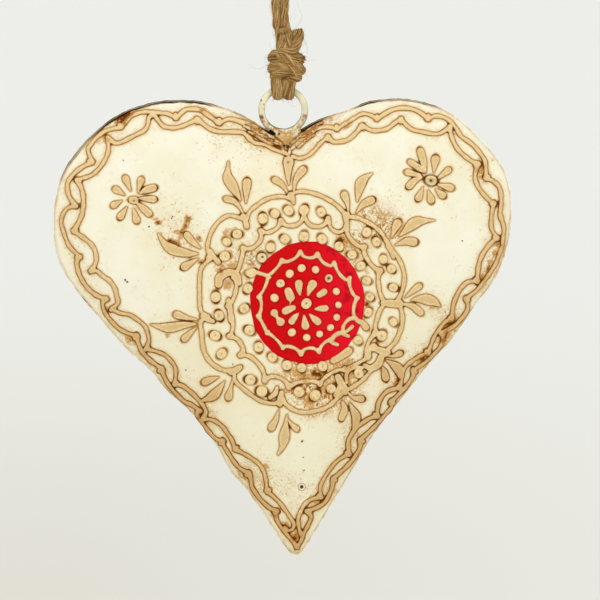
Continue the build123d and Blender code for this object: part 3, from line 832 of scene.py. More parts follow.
def pressFields(points):
    # how far each cell of the face lies from the paste's edge, and how paste crowds round it, near and far
    cell = relief["cell"]
    gap = np.full(fieldCells, relief["farGap"])
    for x, z, half in points:
        reach = half + relief["seenGap"]
        i0, j0 = [max(int((v - e - reach) / cell), 0) for v, e in zip((x, z), fieldEdge)]
        i1, j1 = [int((v - e + reach) / cell) + 1 for v, e in zip((x, z), fieldEdge)]
        i = np.arange(i0, min(i1, fieldCells[0]))
        j = np.arange(j0, min(j1, fieldCells[1]))
        away = np.hypot((fieldEdge[0] + i * cell - x)[:, None], (fieldEdge[1] + j * cell - z)[None, :]) - half
        gap[i0 : i0 + len(i), j0 : j0 + len(j)] = np.minimum(gap[i0 : i0 + len(i), j0 : j0 + len(j)], away)
    cover = np.clip(0.5 - gap / 0.2, 0, 1)
    fx = np.fft.fftfreq(fieldCells[0], cell)[:, None]
    fz = np.fft.rfftfreq(fieldCells[1], cell)[None, :]
    crowds = []
    for reach in (relief["nookBlur"], relief["aroundBlur"]):
        blur = np.exp(-2 * (math.pi * reach) ** 2 * (fx**2 + fz**2))
        crowds.append(np.fft.irfft2(np.fft.rfft2(cover) * blur, s=fieldCells))
    return gap, *crowds


def fieldAt(field, x, z):
    u = np.clip((x / millimetre - fieldEdge[0]) / relief["cell"], 0, fieldCells[0] - 1.001)
    v = np.clip((z / millimetre - fieldEdge[1]) / relief["cell"], 0, fieldCells[1] - 1.001)
    i, j = u.astype(int), v.astype(int)
    s, t = u - i, v - j
    return (
        field[i, j] * (1 - s) * (1 - t) + field[i + 1, j] * s * (1 - t)
        + field[i, j + 1] * (1 - s) * t + field[i + 1, j + 1] * s * t
    )


def drape(flat):
    # flat millimetres, with -y as the height, laid over the dome in metres
    x, z = flat[:, 0] * millimetre, flat[:, 2] * millimetre
    height = -flat[:, 1]
    crown = relief["crown"]
    soft = np.where(height > 0, crown * np.tanh(height / crown), height * relief["sink"])
    soft = soft + relief["unevenness"] * ripple(x, z, 0.0027) * (height > 0.2)
    face, normal = domeFace(x, z)
    return face + normal * (soft * millimetre)[:, None]


def fusedTubes(name, rows, roundness, voxel):
    # tubes through x, y, z and half width, in millimetres, fused into one skin
    curve = bpy.data.curves.new(name, "CURVE")
    curve.dimensions = "3D"
    curve.bevel_depth = 1
    curve.bevel_resolution = roundness
    curve.use_fill_caps = True
    for row in rows:
        spline = curve.splines.new("POLY")
        spline.points.add(len(row) - 1)
        spline.points.foreach_set("co", np.column_stack([row[:, :3], np.ones(len(row))]).ravel())
        spline.points.foreach_set("radius", row[:, 3])
    piece = bpy.data.objects.new(name, curve)
    bpy.context.collection.objects.link(piece)
    pickOnly(piece)
    bpy.ops.object.convert(target="MESH")
    piece = named(name)
    fuse = piece.modifiers.new("fuse", "REMESH")
    fuse.mode = "VOXEL"
    fuse.voxel_size = voxel
    settle = piece.modifiers.new("settle", "SMOOTH")
    settle.factor = 0.5
    settle.iterations = 4
    applyAll(piece)
    return piece


def pipePaste(name, node, strokes):
    # pipe the strokes flat as one paste, then lay it over the dome
    rows = [np.column_stack([s[:, 0], np.zeros(len(s)), s[:, 1:]]) for s in strokes]
    piece = fusedTubes(name, rows, 3, relief["voxel"])
    writePoints(piece, drape(readPoints(piece)))
    bpy.ops.object.shade_smooth()
    if node:
        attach(piece, "heart")
        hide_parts(node)
        reliefPoints.append(np.vstack(strokes))
    return piece


def pipeTrails(name, node, tables, half, extras=()):
    strokes = [stroke for table in tables for stroke in trailStrokes(table, half)]
    return pipePaste(name, node, strokes + [blobStroke(px) for px in extras])


def pipeBlobs(name, node, blobs, dots=()):
    return pipePaste(name, node, [dotStroke(d) for d in dots] + [blobStroke(px) for px in blobs])


trail, fineTrail = relief["trail"], relief["fineTrail"]
pastePieces = [
    pipeTrails("outerBorderTrail", "border_outer_trail", [borderOuterLeft, borderOuterRight], trail),
    pipeTrails("innerBorderTrail", "border_inner_trail", [borderInnerLeft, borderInnerRight], trail),
    pipeTrails("medallionTrail", "medallion_outline", [medallionOutline], trail, medallionTails),
    pipeTrails("scallopTrail", "medallion_scallop", [medallionScallop], trail, scallopDrips),
    pipeTrails("centreTrail", "centre_scallop", [centreScallop], fineTrail, centreStrays),
    pipeBlobs("outerDotRing", "outer_dots", [], outerDots),
    pipeBlobs("innerDotRing", "inner_dots", [innerBar], innerDots),
    pipeBlobs("centreDotRing", "centre_dots", [centreDumbbell], centreDots),
    pipeBlobs("centrePetals", "centre_flower", centrePetals),
    pipeBlobs("sprigLeaves", "sprig_leaves", sprigLeaves),
    pipeBlobs("sprigDrops", "sprig_drops", sprigDrops),
    pipeBlobs("leftFlower", "left_flower", leftFlower),
    pipeBlobs("rightFlower", "right_flower", rightFlower),
]
cleftStreaks = [
    [(238, 119.5, 1.6), (247, 122.5, 2), (256, 127, 2.1), (264, 132, 2), (273, 137.5, 1.7)],
    [(244, 126, 1.5), (252, 129.5, 1.8), (260, 134, 1.9), (268, 139, 1.8), (277, 144, 1.6)],
    [(249, 132, 1.4), (257, 136, 1.7), (264, 140.5, 1.7), (272, 144.5, 1.5)],
    [(250, 126, 0.9), (258, 128.5, 1), (267, 131, 1), (272, 134.5, 0.9)],
    [(256, 131.5, 0.9), (264, 133.5, 1), (272, 137, 1)],
    [(325, 126.5, 1.4), (316, 130, 1.6), (308, 135, 1.9), (300, 141, 2.1), (293, 147.5, 2)],
    [(314, 135, 1.2), (306, 140.5, 1.6), (299, 147, 1.8)],
    [(308, 131, 1.1), (302, 134.5, 1.3), (297, 139, 1.4), (292, 143, 1.4)],
    [(276, 140, 1.8), (281, 144.5, 1.8), (283, 150, 1.5), (286, 154.5, 1.5)],
    [(290, 150, 1.9), (289, 155, 1.8)], [(322, 122.5, 1), (314, 126, 1.3), (306, 130.5, 1.4)],
]
cleftStrokes = [blobStroke(px) for px in cleftStreaks]
reliefPoints.extend(cleftStrokes)
gapField, crowdField, aroundField = pressFields(np.vstack(reliefPoints))
print("paste piped:", sum(len(p.data.polygons) for p in pastePieces), "faces")

# Where brown grime and stains lie: x, y, radius and strength, in pixels of the photo
grimeSpots = [
    (121, 118, 4, 1.3), (126, 115.5, 4, 1.3), (131, 113, 3.5, 1.1), (136, 111, 3, 0.7), (124, 122, 5, 1),
    (116, 121, 4, 0.8), (160, 223, 2.6, 1.3), (157, 223.5, 2.2, 1), (156, 219, 1.8, 0.7),
    (153, 219.5, 1.5, 0.7), (150, 216, 2.4, 0.5), (189, 218, 3.4, 1.3), (187.5, 223, 2.8, 1.2),
    (186, 227, 2.6, 1.2), (183, 229.5, 2.2, 1), (181.5, 233, 2.8, 1.2), (177, 232.5, 2.2, 1),
    (173.5, 231.8, 2, 0.9), (181, 238, 2.4, 0.8), (178, 243, 2.6, 1.1), (173, 242, 2.6, 1.2),
    (170, 241, 2.2, 0.8), (179, 246, 2, 0.8), (199, 238, 2.6, 1.2), (201, 240.5, 2, 1),
    (178.5, 212, 1.8, 1.1), (195, 214, 2.4, 0.4), (203, 262.5, 3, 1), (200, 262.5, 2.6, 0.8),
    (206, 260, 2, 0.8), (189, 248.5, 2, 0.6), (190, 259, 2.6, 0.7), (185, 260, 2, 0.5), (174, 258, 1.6, 0.7),
    (162, 236, 1.6, 0.8), (167, 241, 1.6, 0.8), (367, 304, 2.6, 1.1), (342, 239, 3, 1.1),
    (338, 238.5, 2.4, 0.8), (399, 380, 2.4, 1.1), (396, 374, 2.2, 1), (228, 233, 6, 0.5), (222, 268, 6, 0.6),
    (230, 281, 6, 0.6), (236, 262, 5, 0.5), (250, 262, 5, 0.5), (248, 280, 5, 0.4), (350, 245, 6, 0.6),
    (358, 258, 5, 0.5), (366, 272, 5, 0.4), (340, 232, 5, 0.5), (372, 300, 5, 0.4), (378, 330, 5, 0.4),
    (350, 368, 7, 0.6), (335, 365, 6, 0.5), (318, 374, 6, 0.6), (305, 378, 6, 0.6), (295, 371, 5, 0.5),
    (285, 372, 5, 0.4), (345, 378, 6, 0.5), (330, 393, 6, 0.5), (310, 402, 7, 0.5), (345, 392, 6, 0.4),
    (258, 134, 7, 0.7), (268, 140, 6, 0.7), (276, 146, 5, 0.7), (300, 140, 6, 0.6), (308, 133, 6, 0.7),
    (316, 128, 5, 0.6), (104, 137, 5, 0.6), (108, 141, 4, 0.7), (98, 142, 4, 0.4), (88, 158, 4, 0.4),
    (203, 111, 4, 0.7), (209, 115, 4, 0.6), (216, 119, 5, 0.6), (235, 120, 8, 0.35), (200, 109, 4, 0.5),
    (248, 128, 6, 0.5), (256, 133, 6, 0.6), (265, 138, 6, 0.6), (274, 143, 5, 0.7), (281, 147, 4, 0.9),
    (288, 148, 3, 1), (262, 128, 5, 0.5), (296, 144, 5, 0.6), (304, 133, 5, 0.8), (312, 127, 5, 0.8),
    (320, 122, 5, 0.8), (330, 119, 5, 0.6), (345, 127, 4, 0.7), (350, 123, 4, 0.7), (340, 117, 5, 0.4),
    (480, 158, 4, 0.5), (478, 170, 5, 0.8), (482, 176, 4, 0.9), (484, 167, 4, 0.6), (492, 160, 4, 0.5),
    (497, 243, 4, 1), (503, 246, 4, 0.8), (505, 252, 4, 0.5), (496, 254, 4, 1), (491, 263, 4, 0.9),
    (488, 269, 4, 1), (485, 276, 5, 0.8), (480, 281, 5, 0.7), (494, 205, 5, 0.5), (455, 319, 5, 0.8),
    (450, 324, 5, 1), (444, 328, 5, 0.7), (447, 335, 5, 0.9), (443, 341, 4, 0.9), (437, 340, 6, 0.4),
    (424, 357, 4, 1), (420, 361, 4, 0.9), (428, 355, 4, 0.6), (397, 379, 3, 0.9), (395, 384, 3, 0.8),
    (413, 374, 4, 0.4), (376, 405, 4, 0.4), (350, 428, 3, 0.7), (335, 490, 5, 0.5), (318, 502, 5, 0.6),
    (324, 500, 4, 0.6), (310, 506, 5, 0.4), (284, 524, 4, 0.9), (295, 535, 5, 1), (294, 540, 4, 0.9),
    (288, 527, 3, 0.8), (302, 536, 3, 0.7), (297, 525, 3, 0.7), (243, 476, 4, 0.9), (249, 481, 4, 0.5),
    (239, 472, 3, 0.7), (273, 513, 4, 0.8), (276, 517, 3, 0.7), (201, 414, 4, 1), (198, 419, 4, 0.9),
    (204, 425, 5, 0.8), (208, 432, 4, 0.6), (145, 356, 5, 0.5), (139, 352, 4, 0.6), (172, 389, 5, 0.5),
    (177, 396, 5, 0.6), (150, 363, 4, 0.6), (158, 368, 5, 0.4), (128, 337, 5, 0.5), (134, 342, 4, 0.5),
    (113, 308, 4, 0.5), (106, 309, 4, 0.7), (130, 341, 5, 0.4), (168, 335, 4, 0.6), (436, 307, 4, 0.6),
    (431, 308, 3, 0.5), (412, 247, 4, 0.4), (397, 233, 3, 0.6), (203, 147, 4, 0.25), (211, 142, 4, 0.25),
    (228, 150, 4, 0.3), (232, 157, 3, 0.2), (372, 213, 5, 0.45), (381, 220, 6, 0.5), (385, 214, 4, 0.4),
    (386, 143, 5, 0.25), (371, 158, 5, 0.2), (236, 229, 4, 0.5), (225, 236, 4, 0.4), (345, 243, 4, 0.6),
    (336, 243, 5, 0.5), (352, 262, 4, 0.4), (362, 280, 4, 0.4), (366, 304, 3, 0.8), (315, 372, 4, 1),
    (320, 376, 3, 0.8), (302, 375, 10, 0.4), (333, 377, 9, 0.4), (348, 362, 7, 0.4), (320, 389, 9, 0.45),
    (340, 397, 7, 0.45), (308, 401, 9, 0.4), (352, 380, 7, 0.35), (364, 352, 5, 0.3), (227, 287, 5, 0.6),
    (221, 272, 4, 0.7), (232, 267, 4, 0.7), (270, 470, 10, 0.3), (265, 466, 5, 0.4), (270, 490, 11, 0.25),
    (296, 470, 9, 0.15), (300, 486, 8, 0.25), (344, 444, 6, 0.25), (302, 441, 2, 0.8), (303.5, 471, 2, 0.5),
    (165, 258, 4, 0.4), (171, 242, 5, 0.4), (181, 250, 6, 0.35), (206, 362, 5, 0.3), (262, 225, 5, 0.3),
]
# Black pin holes and dabs, painted shadow in the gaps beside the cleft, worn spots on the dots, and thin
# rings, in pixels of the photo
pinAndShadowMarks = [
    # the spots from (288, 146.5) to (279, 133.8) are painted shadow in the gaps between the ring and the
    # shells
    (262.5, 257, 1.3), (306.3, 303.4, 1), (328.5, 278.4, 1.9), (430.7, 180.8, 1.8), (288, 146.5, 2.2),
    (284, 146, 1.3), (263, 126.8, 1.8), (265, 128.2, 2.2), (267.3, 129.8, 2.5), (269.8, 131.4, 2.6),
    (272.3, 133, 2.2), (274.5, 134, 1.5), (302.5, 129.5, 2.2), (304.5, 128, 2.6), (307, 126.8, 2.2),
    (309.5, 125.5, 1.8), (312, 124.3, 1.5), (315, 123, 1.3), (318, 121.8, 1.2), (321, 120.6, 1.1),
    (279, 133.8, 1.2), (134.2, 201, 0.9), (288, 162.5, 1),
]
dotPits = [
    (304, 237.6), (322.5, 240), (351.5, 256), (360, 266), (366, 281), (369, 297), (367.5, 312.5),
    (357.5, 340.5), (301, 368), (287, 366), (322.5, 366.5), (258.5, 347), (244, 308), (250, 331),
    (272.5, 356.5), (391, 269.5), (392.6, 288), (381, 336), (250.5, 379), (222, 353.5), (215.5, 335),
    (226, 257), (237, 234), (376, 242), (366, 232), (299, 391), (285, 240), (289.5, 211.5), (331, 388),
    (358, 374), (248, 289), (339, 246), (321, 213), (219.5, 316), (281, 283), (290, 332.5),
]
markRings = [(430.7, 180.8, 6.4), (262, 258, 5.6)]
shellPins = [
    (301.7, 486.5, 1.9), (302, 441, 1), (303.3, 457, 0.7), (304, 470, 0.8), (125.6, 280, 1.1),
    (127.6, 282, 1.1), (173, 217, 0.7), (172, 218.8, 0.7), (149.5, 226.8, 0.9), (186, 370, 0.8),
    (445, 312, 0.7), (462, 241, 0.8), (107, 124, 0.7), (233, 364, 0.7), (123.5, 160.5, 0.7),
]
pinRing = (301.7, 486.5, 3.6)

# Where the wash left fine speckles: x, y, radius and strength
speckleZones = [
    (350, 250, 20, 0.8), (362, 300, 14, 0.7), (300, 375, 28, 0.9), (335, 370, 24, 0.9), (250, 258, 16, 0.6),
    (225, 262, 22, 0.5), (260, 225, 26, 0.3), (312, 398, 22, 0.9), (345, 385, 20, 0.7), (380, 345, 20, 0.4),
    (180, 240, 24, 0.7), (160, 225, 14, 0.5), (190, 215, 16, 0.4), (375, 215, 24, 0.7), (395, 232, 16, 0.5),
    (268, 480, 26, 0.6), (300, 490, 22, 0.4), (345, 440, 18, 0.4), (110, 130, 22, 0.6), (70, 195, 14, 0.4),
    (240, 125, 26, 0.5), (265, 138, 20, 0.8), (312, 130, 22, 0.8), (350, 125, 16, 0.4), (480, 175, 16, 0.7),
    (495, 250, 18, 0.9), (485, 280, 16, 0.8), (455, 325, 18, 0.8), (425, 358, 16, 0.8), (395, 390, 16, 0.5),
    (360, 435, 18, 0.4), (325, 495, 18, 0.6), (295, 530, 18, 0.7), (250, 475, 16, 0.6), (205, 418, 16, 0.8),
    (165, 375, 20, 0.5), (125, 335, 16, 0.4), (95, 290, 16, 0.3), (75, 250, 16, 0.3), (200, 115, 16, 0.5),
    (180, 320, 20, 0.3), (222, 150, 20, 0.35), (430, 300, 20, 0.3), (410, 320, 24, 0.2), (150, 200, 16, 0.3),
]


def spotSum(spots, x, z):
    total = np.zeros_like(x)
    for px, py, radius, strength in spots:
        cx, cz = onFace((px, py))[0]
        away = ((x - cx) ** 2 + (z - cz) ** 2) / (radius * photoScale) ** 2
        total = total + strength * np.exp(-away)
    return total


# pin holes, dot pits and thin rings, with the painted shadow in the gaps beside the cleft
def markAndShadowSum(x, z):
    marks = spotSum([(px, py, radius * 0.9, 1.3) for px, py, radius in pinAndShadowMarks], x, z)
    marks = marks + spotSum([(px, py, 0.85, 0.55) for px, py in dotPits], x, z)
    for px, py, radius in markRings:
        cx, cz = onFace((px, py))[0]
        off = (np.hypot(x - cx, z - cz) / photoScale - radius) / 0.8
        marks = marks + 0.7 * np.exp(-(off**2))
    return np.minimum(marks, 1.5)


def rimGap(x, z):
    away, reach = rimSpoke(x, z)
    return (reach - away) / millimetre


def dotGap(x, z):
    gap = np.full_like(x, 9.0)
    for px, py, half in outerDots + innerDots + centreDots:
        cx, cz = onFace((px, py))[0]
        gap = np.minimum(gap, (np.hypot(x - cx, z - cz) - half * photoScale) / millimetre)
    return gap


def paintFace(piece, x, z):
    paintPoints(piece, "pasteGap", fieldAt(gapField, x, z))
    paintPoints(piece, "crowd", fieldAt(crowdField, x, z))
    paintPoints(piece, "around", fieldAt(aroundField, x, z))
    paintPoints(piece, "grime", np.minimum(spotSum(grimeSpots, x, z), 1.3))
    paintPoints(piece, "markAndGapShadow", markAndShadowSum(x, z))
    paintPoints(piece, "speckle", np.minimum(spotSum(speckleZones, x, z), 1.2))
    paintPoints(piece, "rimGap", rimGap(x, z))
    paintPoints(piece, "dotGap", dotGap(x, z))


for piece in pastePieces:
    places = readPoints(piece)
    paintFace(piece, places[:, 0], places[:, 2])
print("paste painted")

# How far the paint is worn off the rim at places round it, from 0 to 1
rimWear = [
    (284, 139, 0.7), (270, 132, 0.6), (250, 120, 0.55), (235, 113, 0.7), (222, 108, 0.35), (212, 105, 0.7),
    (200, 102, 0.95), (185, 101.5, 1), (165, 101.5, 0.9), (145, 105, 0.8), (128, 111, 1), (110, 121, 1),
    (96, 133, 0.8), (84, 145, 0.7), (72, 160, 0.75), (62, 180, 0.6), (57, 195, 0.5), (54.5, 215, 0.2),
    (56, 247, 0.15), (68, 276, 0.35), (88, 303, 0.45), (110, 329, 0.2), (140, 359, 0.2), (190, 410, 0.2),
    (231, 470, 0.15), (262, 510, 0.25), (296, 554, 0.35), (327, 510, 0.15), (351, 470, 0.15),
    (383, 420, 0.15), (421, 370, 0.15), (450, 340, 0.2), (478, 300, 0.2), (502, 260, 0.35), (510, 230, 0.25),
    (509, 190, 0.2), (497, 160, 0.3), (479, 140, 0.15), (459, 120, 0.2), (443, 110, 0.5), (425, 103, 0.8),
    (405, 100, 0.75), (385, 100, 0.7), (370, 102, 0.95), (362, 105, 0.9), (350, 110, 0.4), (335, 115, 0.5),
    (322, 119.5, 0.8), (310, 124, 1), (303, 128, 1),
]


def rimWearAt(x, z):
    places = onFace([w[:2] for w in rimWear]) - heartMiddle
    angles = np.arctan2(places[:, 1], places[:, 0])
    order = np.argsort(angles)
    worn = np.array([w[2] for w in rimWear])[order]
    here = np.arctan2(z - heartMiddle[1], x - heartMiddle[0])
    return np.interp(here, angles[order], worn, period=2 * math.pi)


shell = {"facets": 270, "insideFacets": 60, "backFacets": 150, "sheet": 0.00045, "land": 0.00075}


def discFrom(u, v):
    # a square of points to an even disc: how far out, and the angle
    swap = np.abs(v) > np.abs(u)
    major = np.where(swap, v, u)
    minor = np.where(swap, u, v)
    safe = np.where(major == 0, 1, major)
    angle = (math.pi / 4) * minor / safe
    angle = np.where(swap, math.pi / 2 - angle, angle)
    return np.where(major < 0, -1, 1) * np.abs(major), angle


def openEdges():
    bpy.ops.object.mode_set(mode="EDIT")
    bpy.ops.mesh.select_mode(type="EDGE")
    bpy.ops.mesh.select_all(action="DESELECT")
    bpy.ops.mesh.select_non_manifold()


def domeGrid(name, facets, depth, inset):
    # a dome of nested outlines, with a straight lip
    clearSelection()
    bpy.ops.mesh.primitive_grid_add(x_subdivisions=facets, y_subdivisions=facets, size=2)
    piece = named(name)
    co = readPoints(piece)
    share, angle = discFrom(co[:, 0], co[:, 1])
    dx, dz = share * np.cos(angle), share * np.sin(angle)
    share = np.abs(share)
    _, reach = rimSpoke(heartMiddle[0] + dx, heartMiddle[1] + dz)
    even = heart["roundness"] * (1 - share)
    away = (1 - even) * (reach - inset) + even * (meanReach - inset)
    x, z = heartMiddle[0] + dx * away, heartMiddle[1] + dz * away
    writePoints(piece, np.column_stack([x, -domeRise(share, x, z, depth), z]))
    openEdges()
    bpy.ops.mesh.extrude_region_move(TRANSFORM_OT_translate={"value": (0, heart["lip"], 0)})
    bpy.ops.object.mode_set(mode="OBJECT")
    return piece


def pressShell(name, facets, back):
    # a dome, and its inner face a sheet's thickness behind
    outer = domeGrid(name, facets, shellDepth, 0)
    inner = domeGrid(name + "Inside", shell["insideFacets"], shellDepth - shell["sheet"], shell["land"])
    editAll(bpy.ops.mesh.flip_normals)
    pickOnly(outer, inner)
    bpy.ops.object.join()
    openEdges()
    bpy.ops.mesh.bridge_edge_loops()
    bpy.ops.object.mode_set(mode="OBJECT")
    if back:
        writePoints(outer, readPoints(outer) * (1, -1, 1))
        editAll(bpy.ops.mesh.flip_normals)
    co = readPoints(outer)
    if back:
        paintPoints(outer, "pasteGap", np.full(len(co), 9.0))
        paintPoints(outer, "rimGap", rimGap(co[:, 0], co[:, 2]))
    else:
        paintFace(outer, co[:, 0], co[:, 2])
    paintPoints(outer, "rimWear", rimWearAt(co[:, 0], co[:, 2]))
    bpy.ops.object.shade_smooth_by_angle(angle=math.radians(50))
    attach(outer, "heart")
    return outer


frontShell = pressShell("frontShell", shell["facets"], False)
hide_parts("front_shell")
backShell = pressShell("backShell", shell["backFacets"], True)
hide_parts("back_shell")
print("shells pressed:", len(frontShell.data.polygons), "faces in front")

disc = {
    "middlePx": (307.2, 302.9),
    "halfPx": (57, 61.2),
    "rings": 70,
    "sides": 260,
    "lift": 0.07,
    "coat": 0.06,
}
mottles = [
    (342, 262, 7, 1), (350, 275, 7, 0.9), (345, 300, 6, 0.8), (352, 312, 7, 0.8), (335, 310, 6, 0.6),
    (310, 245, 6, 0.6), (340, 288, 8, 0.4), (330, 250, 6, 0.5), (345, 330, 6, 0.4),
]


def makeRoundel():
    # a coat of enamel that follows the dome, its edge a little uneven
    clearSelection()
    bpy.ops.mesh.primitive_circle_add(vertices=disc["sides"], radius=1, fill_type="NOTHING")
    piece = named("redRoundel")
    bpy.ops.object.mode_set(mode="EDIT")
    bpy.ops.mesh.select_all(action="SELECT")
    for k in range(disc["rings"] - 1):
        shrink = (disc["rings"] - 1 - k) / (disc["rings"] - k)
        bpy.ops.mesh.extrude_region_move()
        bpy.ops.transform.resize(value=(shrink, shrink, 1))
    bpy.ops.mesh.merge(type="CENTER")
    bpy.ops.object.mode_set(mode="OBJECT")
    co = readPoints(piece)
    angle = np.arctan2(co[:, 1], co[:, 0])
    edge = 1 + 0.006 * np.sin(5 * angle + 1) + 0.005 * np.sin(11 * angle) + 0.003 * np.sin(23 * angle + 2)
    centre = onFace(disc["middlePx"])[0]
    x = centre[0] + co[:, 0] * edge * disc["halfPx"][0] * photoScale
    z = centre[1] + co[:, 1] * edge * disc["halfPx"][1] * photoScale
    face, normal = domeFace(x, z)
    writePoints(piece, face + normal * disc["lift"] * millimetre)
    paintFace(piece, x, z)
    paintPoints(piece, "mottle", spotSum(mottles, x, z))
    # how far right across the disc, for the painted light on the enamel
    paintPoints(piece, "side", co[:, 0])
    inside = 1 - np.hypot(co[:, 0], co[:, 1])
    paintPoints(piece, "edgeGap", inside * disc["halfPx"][0] * photoScale / millimetre)
    thick = piece.modifiers.new("coat", "SOLIDIFY")
    thick.thickness = disc["coat"] * millimetre
    thick.offset = -1
    applyAll(piece)
    pickOnly(piece)
    editAll(bpy.ops.mesh.normals_make_consistent, inside=False)
    bpy.ops.object.shade_smooth_by_angle(angle=math.radians(50))
    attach(piece, "heart")
    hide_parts("red_roundel")
    return piece


redRoundel = makeRoundel()
print("roundel made")

# The jute cord: a core tube covered in fibres that run round it at a slow twist
jute = {
    "coreShare": 0.88,
    "coreSides": 14,
    "coreTone": 0.12,
    "fibreHalf": 0.105,
    "fibreSides": 4,
    "fibreStep": 0.7,
    "fibreRun": (9, 24),
    "fibreTone": (0.54, 0.24),
    "twistPerMm": 0.17,
    "hairHalf": 0.042,
    "hairSides": 3,
    "hairsPerMm": 5.0,
    "hairReach": 1.2,
    "hairLength": (1, 4.5),
    "hairBend": (0.45, 0.5),
    "hairTone": 0.75,
}
fibreDice = np.random.default_rng(11)

ringLow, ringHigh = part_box("hanging_ring")
ring = {
    "middle": (ringLow + ringHigh) / 2,
    "wire": (ringHigh.y - ringLow.y) / 2,
    "radius": (ringHigh.x - ringLow.x) / 2 - (ringHigh.y - ringLow.y) / 2,
    "wobble": 0.05,
    "lowSwell": 0.08,
    "swingSide": math.radians(110),
    "coversHinge": 3.8,
    "hairRoom": 0.2,
    "strayRoom": 0.05,
    "pressRoom": 0.3,
    "leastRoom": 0.12,
}


def nearRing(points):
    # the way off the nearest wire as the ring swings, and the room it leaves, for points in millimetres
    off = np.asarray(points, float) - np.array([ring["middle"].x, 0, swingHeight]) / millimetre
    turn = np.arctan2(off[:, 1], -off[:, 2])
    swung = np.clip(turn, -ring["swingSide"], ring["swingSide"])
    outward = np.column_stack([np.zeros(len(off)), np.sin(swung), -np.cos(swung)])
    radius, wire = ring["radius"] / millimetre, ring["wire"] / millimetre
    inPlane = np.column_stack([off[:, 0], (off * outward).sum(axis=1) - radius])
    reach = np.hypot(*inPlane.T)
    line = inPlane / reach[:, None] * radius
    nearest = np.column_stack([line[:, 0], outward[:, 1:] * (line[:, 1] + radius)[:, None]])
    away = off - nearest
    room = np.linalg.norm(away, axis=1)
    # beside the hinge there is only the ring's inside to go to
    through = (np.abs(turn) < ring["swingSide"]) & (np.abs(off[:, 0]) < ring["coversHinge"])
    through &= reach > radius
    away[through] *= -1
    room = np.where(through, -room, room)
    return away / np.abs(room)[:, None], room - wire


def ringRoom(points):
    return float(nearRing(points)[1].min())


def pressOffRing(heap):
    # press a heap's points clear of the wire, in a few small steps, as the cord beds on it
    made, soft = np.vstack(heap.points), ring["pressRoom"]
    for _ in range(4):
        away, room = nearRing(made)
        pressed = np.where(room < soft, soft * np.exp((room - soft) / soft), room)
        made = made + away * (pressed - room)[:, None] * (room < ring["leastRoom"])[:, None]
    heap.points = [made]


class MeshHeap:
    # gathers tubes, and a tone for each point, into one mesh
    def __init__(self):
        self.points, self.faces, self.tones, self.count = [], [], [], 0

    def tube(self, centres, across, over, sides, tone):
        turn = np.arange(sides) * 2 * math.pi / sides
        rings = (
            centres[:, None, :]
            + np.cos(turn)[None, :, None] * across[:, None, :]
            + np.sin(turn)[None, :, None] * over[:, None, :]
        )
        rows = len(centres)
        first = self.count + np.arange(rows - 1)[:, None] * sides + np.arange(sides)[None, :]
        second = self.count + np.arange(rows - 1)[:, None] * sides + (np.arange(sides)[None, :] + 1) % sides
        quads = np.stack([first, second, second + sides, first + sides], -1).reshape(-1, 4)
        self.faces.extend(quads.tolist())
        self.faces.append(list(range(self.count + sides - 1, self.count - 1, -1)))
        last = self.count + (rows - 1) * sides
        self.faces.append(list(range(last, last + sides)))
        self.points.append(rings.reshape(-1, 3))
        self.tones.append(np.full(rows * sides, tone))
        self.count += rows * sides

    def mesh(self, name):
        made = bpy.data.meshes.new(name)
        made.from_pydata((np.vstack(self.points) * millimetre).tolist(), [], self.faces)
        piece = bpy.data.objects.new(name, made)
        bpy.context.collection.objects.link(piece)
        paintPoints(piece, "tone", np.concatenate(self.tones))
        pickOnly(piece)
        bpy.ops.object.shade_smooth()
        return piece


def evenLine(points, step):
    far = alongLine(points)
    stops = np.linspace(0, far[-1], max(int(far[-1] / step), 3) + 1)
    return np.column_stack([np.interp(stops, far, column) for column in points.T])


def directions(line):
    along = np.gradient(line, axis=0)
    return along / np.linalg.norm(along, axis=1)[:, None]


def lineFrames(line):
    # directions along and across a line, carried along it without twisting
    along = directions(line)
    across = np.empty_like(line)
    side = np.array([1.0, 0, 0])
    for i, t in enumerate(along):
        side = side - t * side.dot(t)
        side /= np.linalg.norm(side)
        across[i] = side
    return along, across, np.cross(along, across)


def hair(heap, centres, out, tone):
    run = directions(centres)
    beside = np.cross(run, out)
    beside /= np.linalg.norm(beside, axis=1)[:, None]
    half = jute["hairHalf"] * np.linspace(1.1, 0.5, len(centres))[:, None]
    heap.tube(centres, np.cross(beside, run) * half, beside * half, jute["hairSides"], tone)


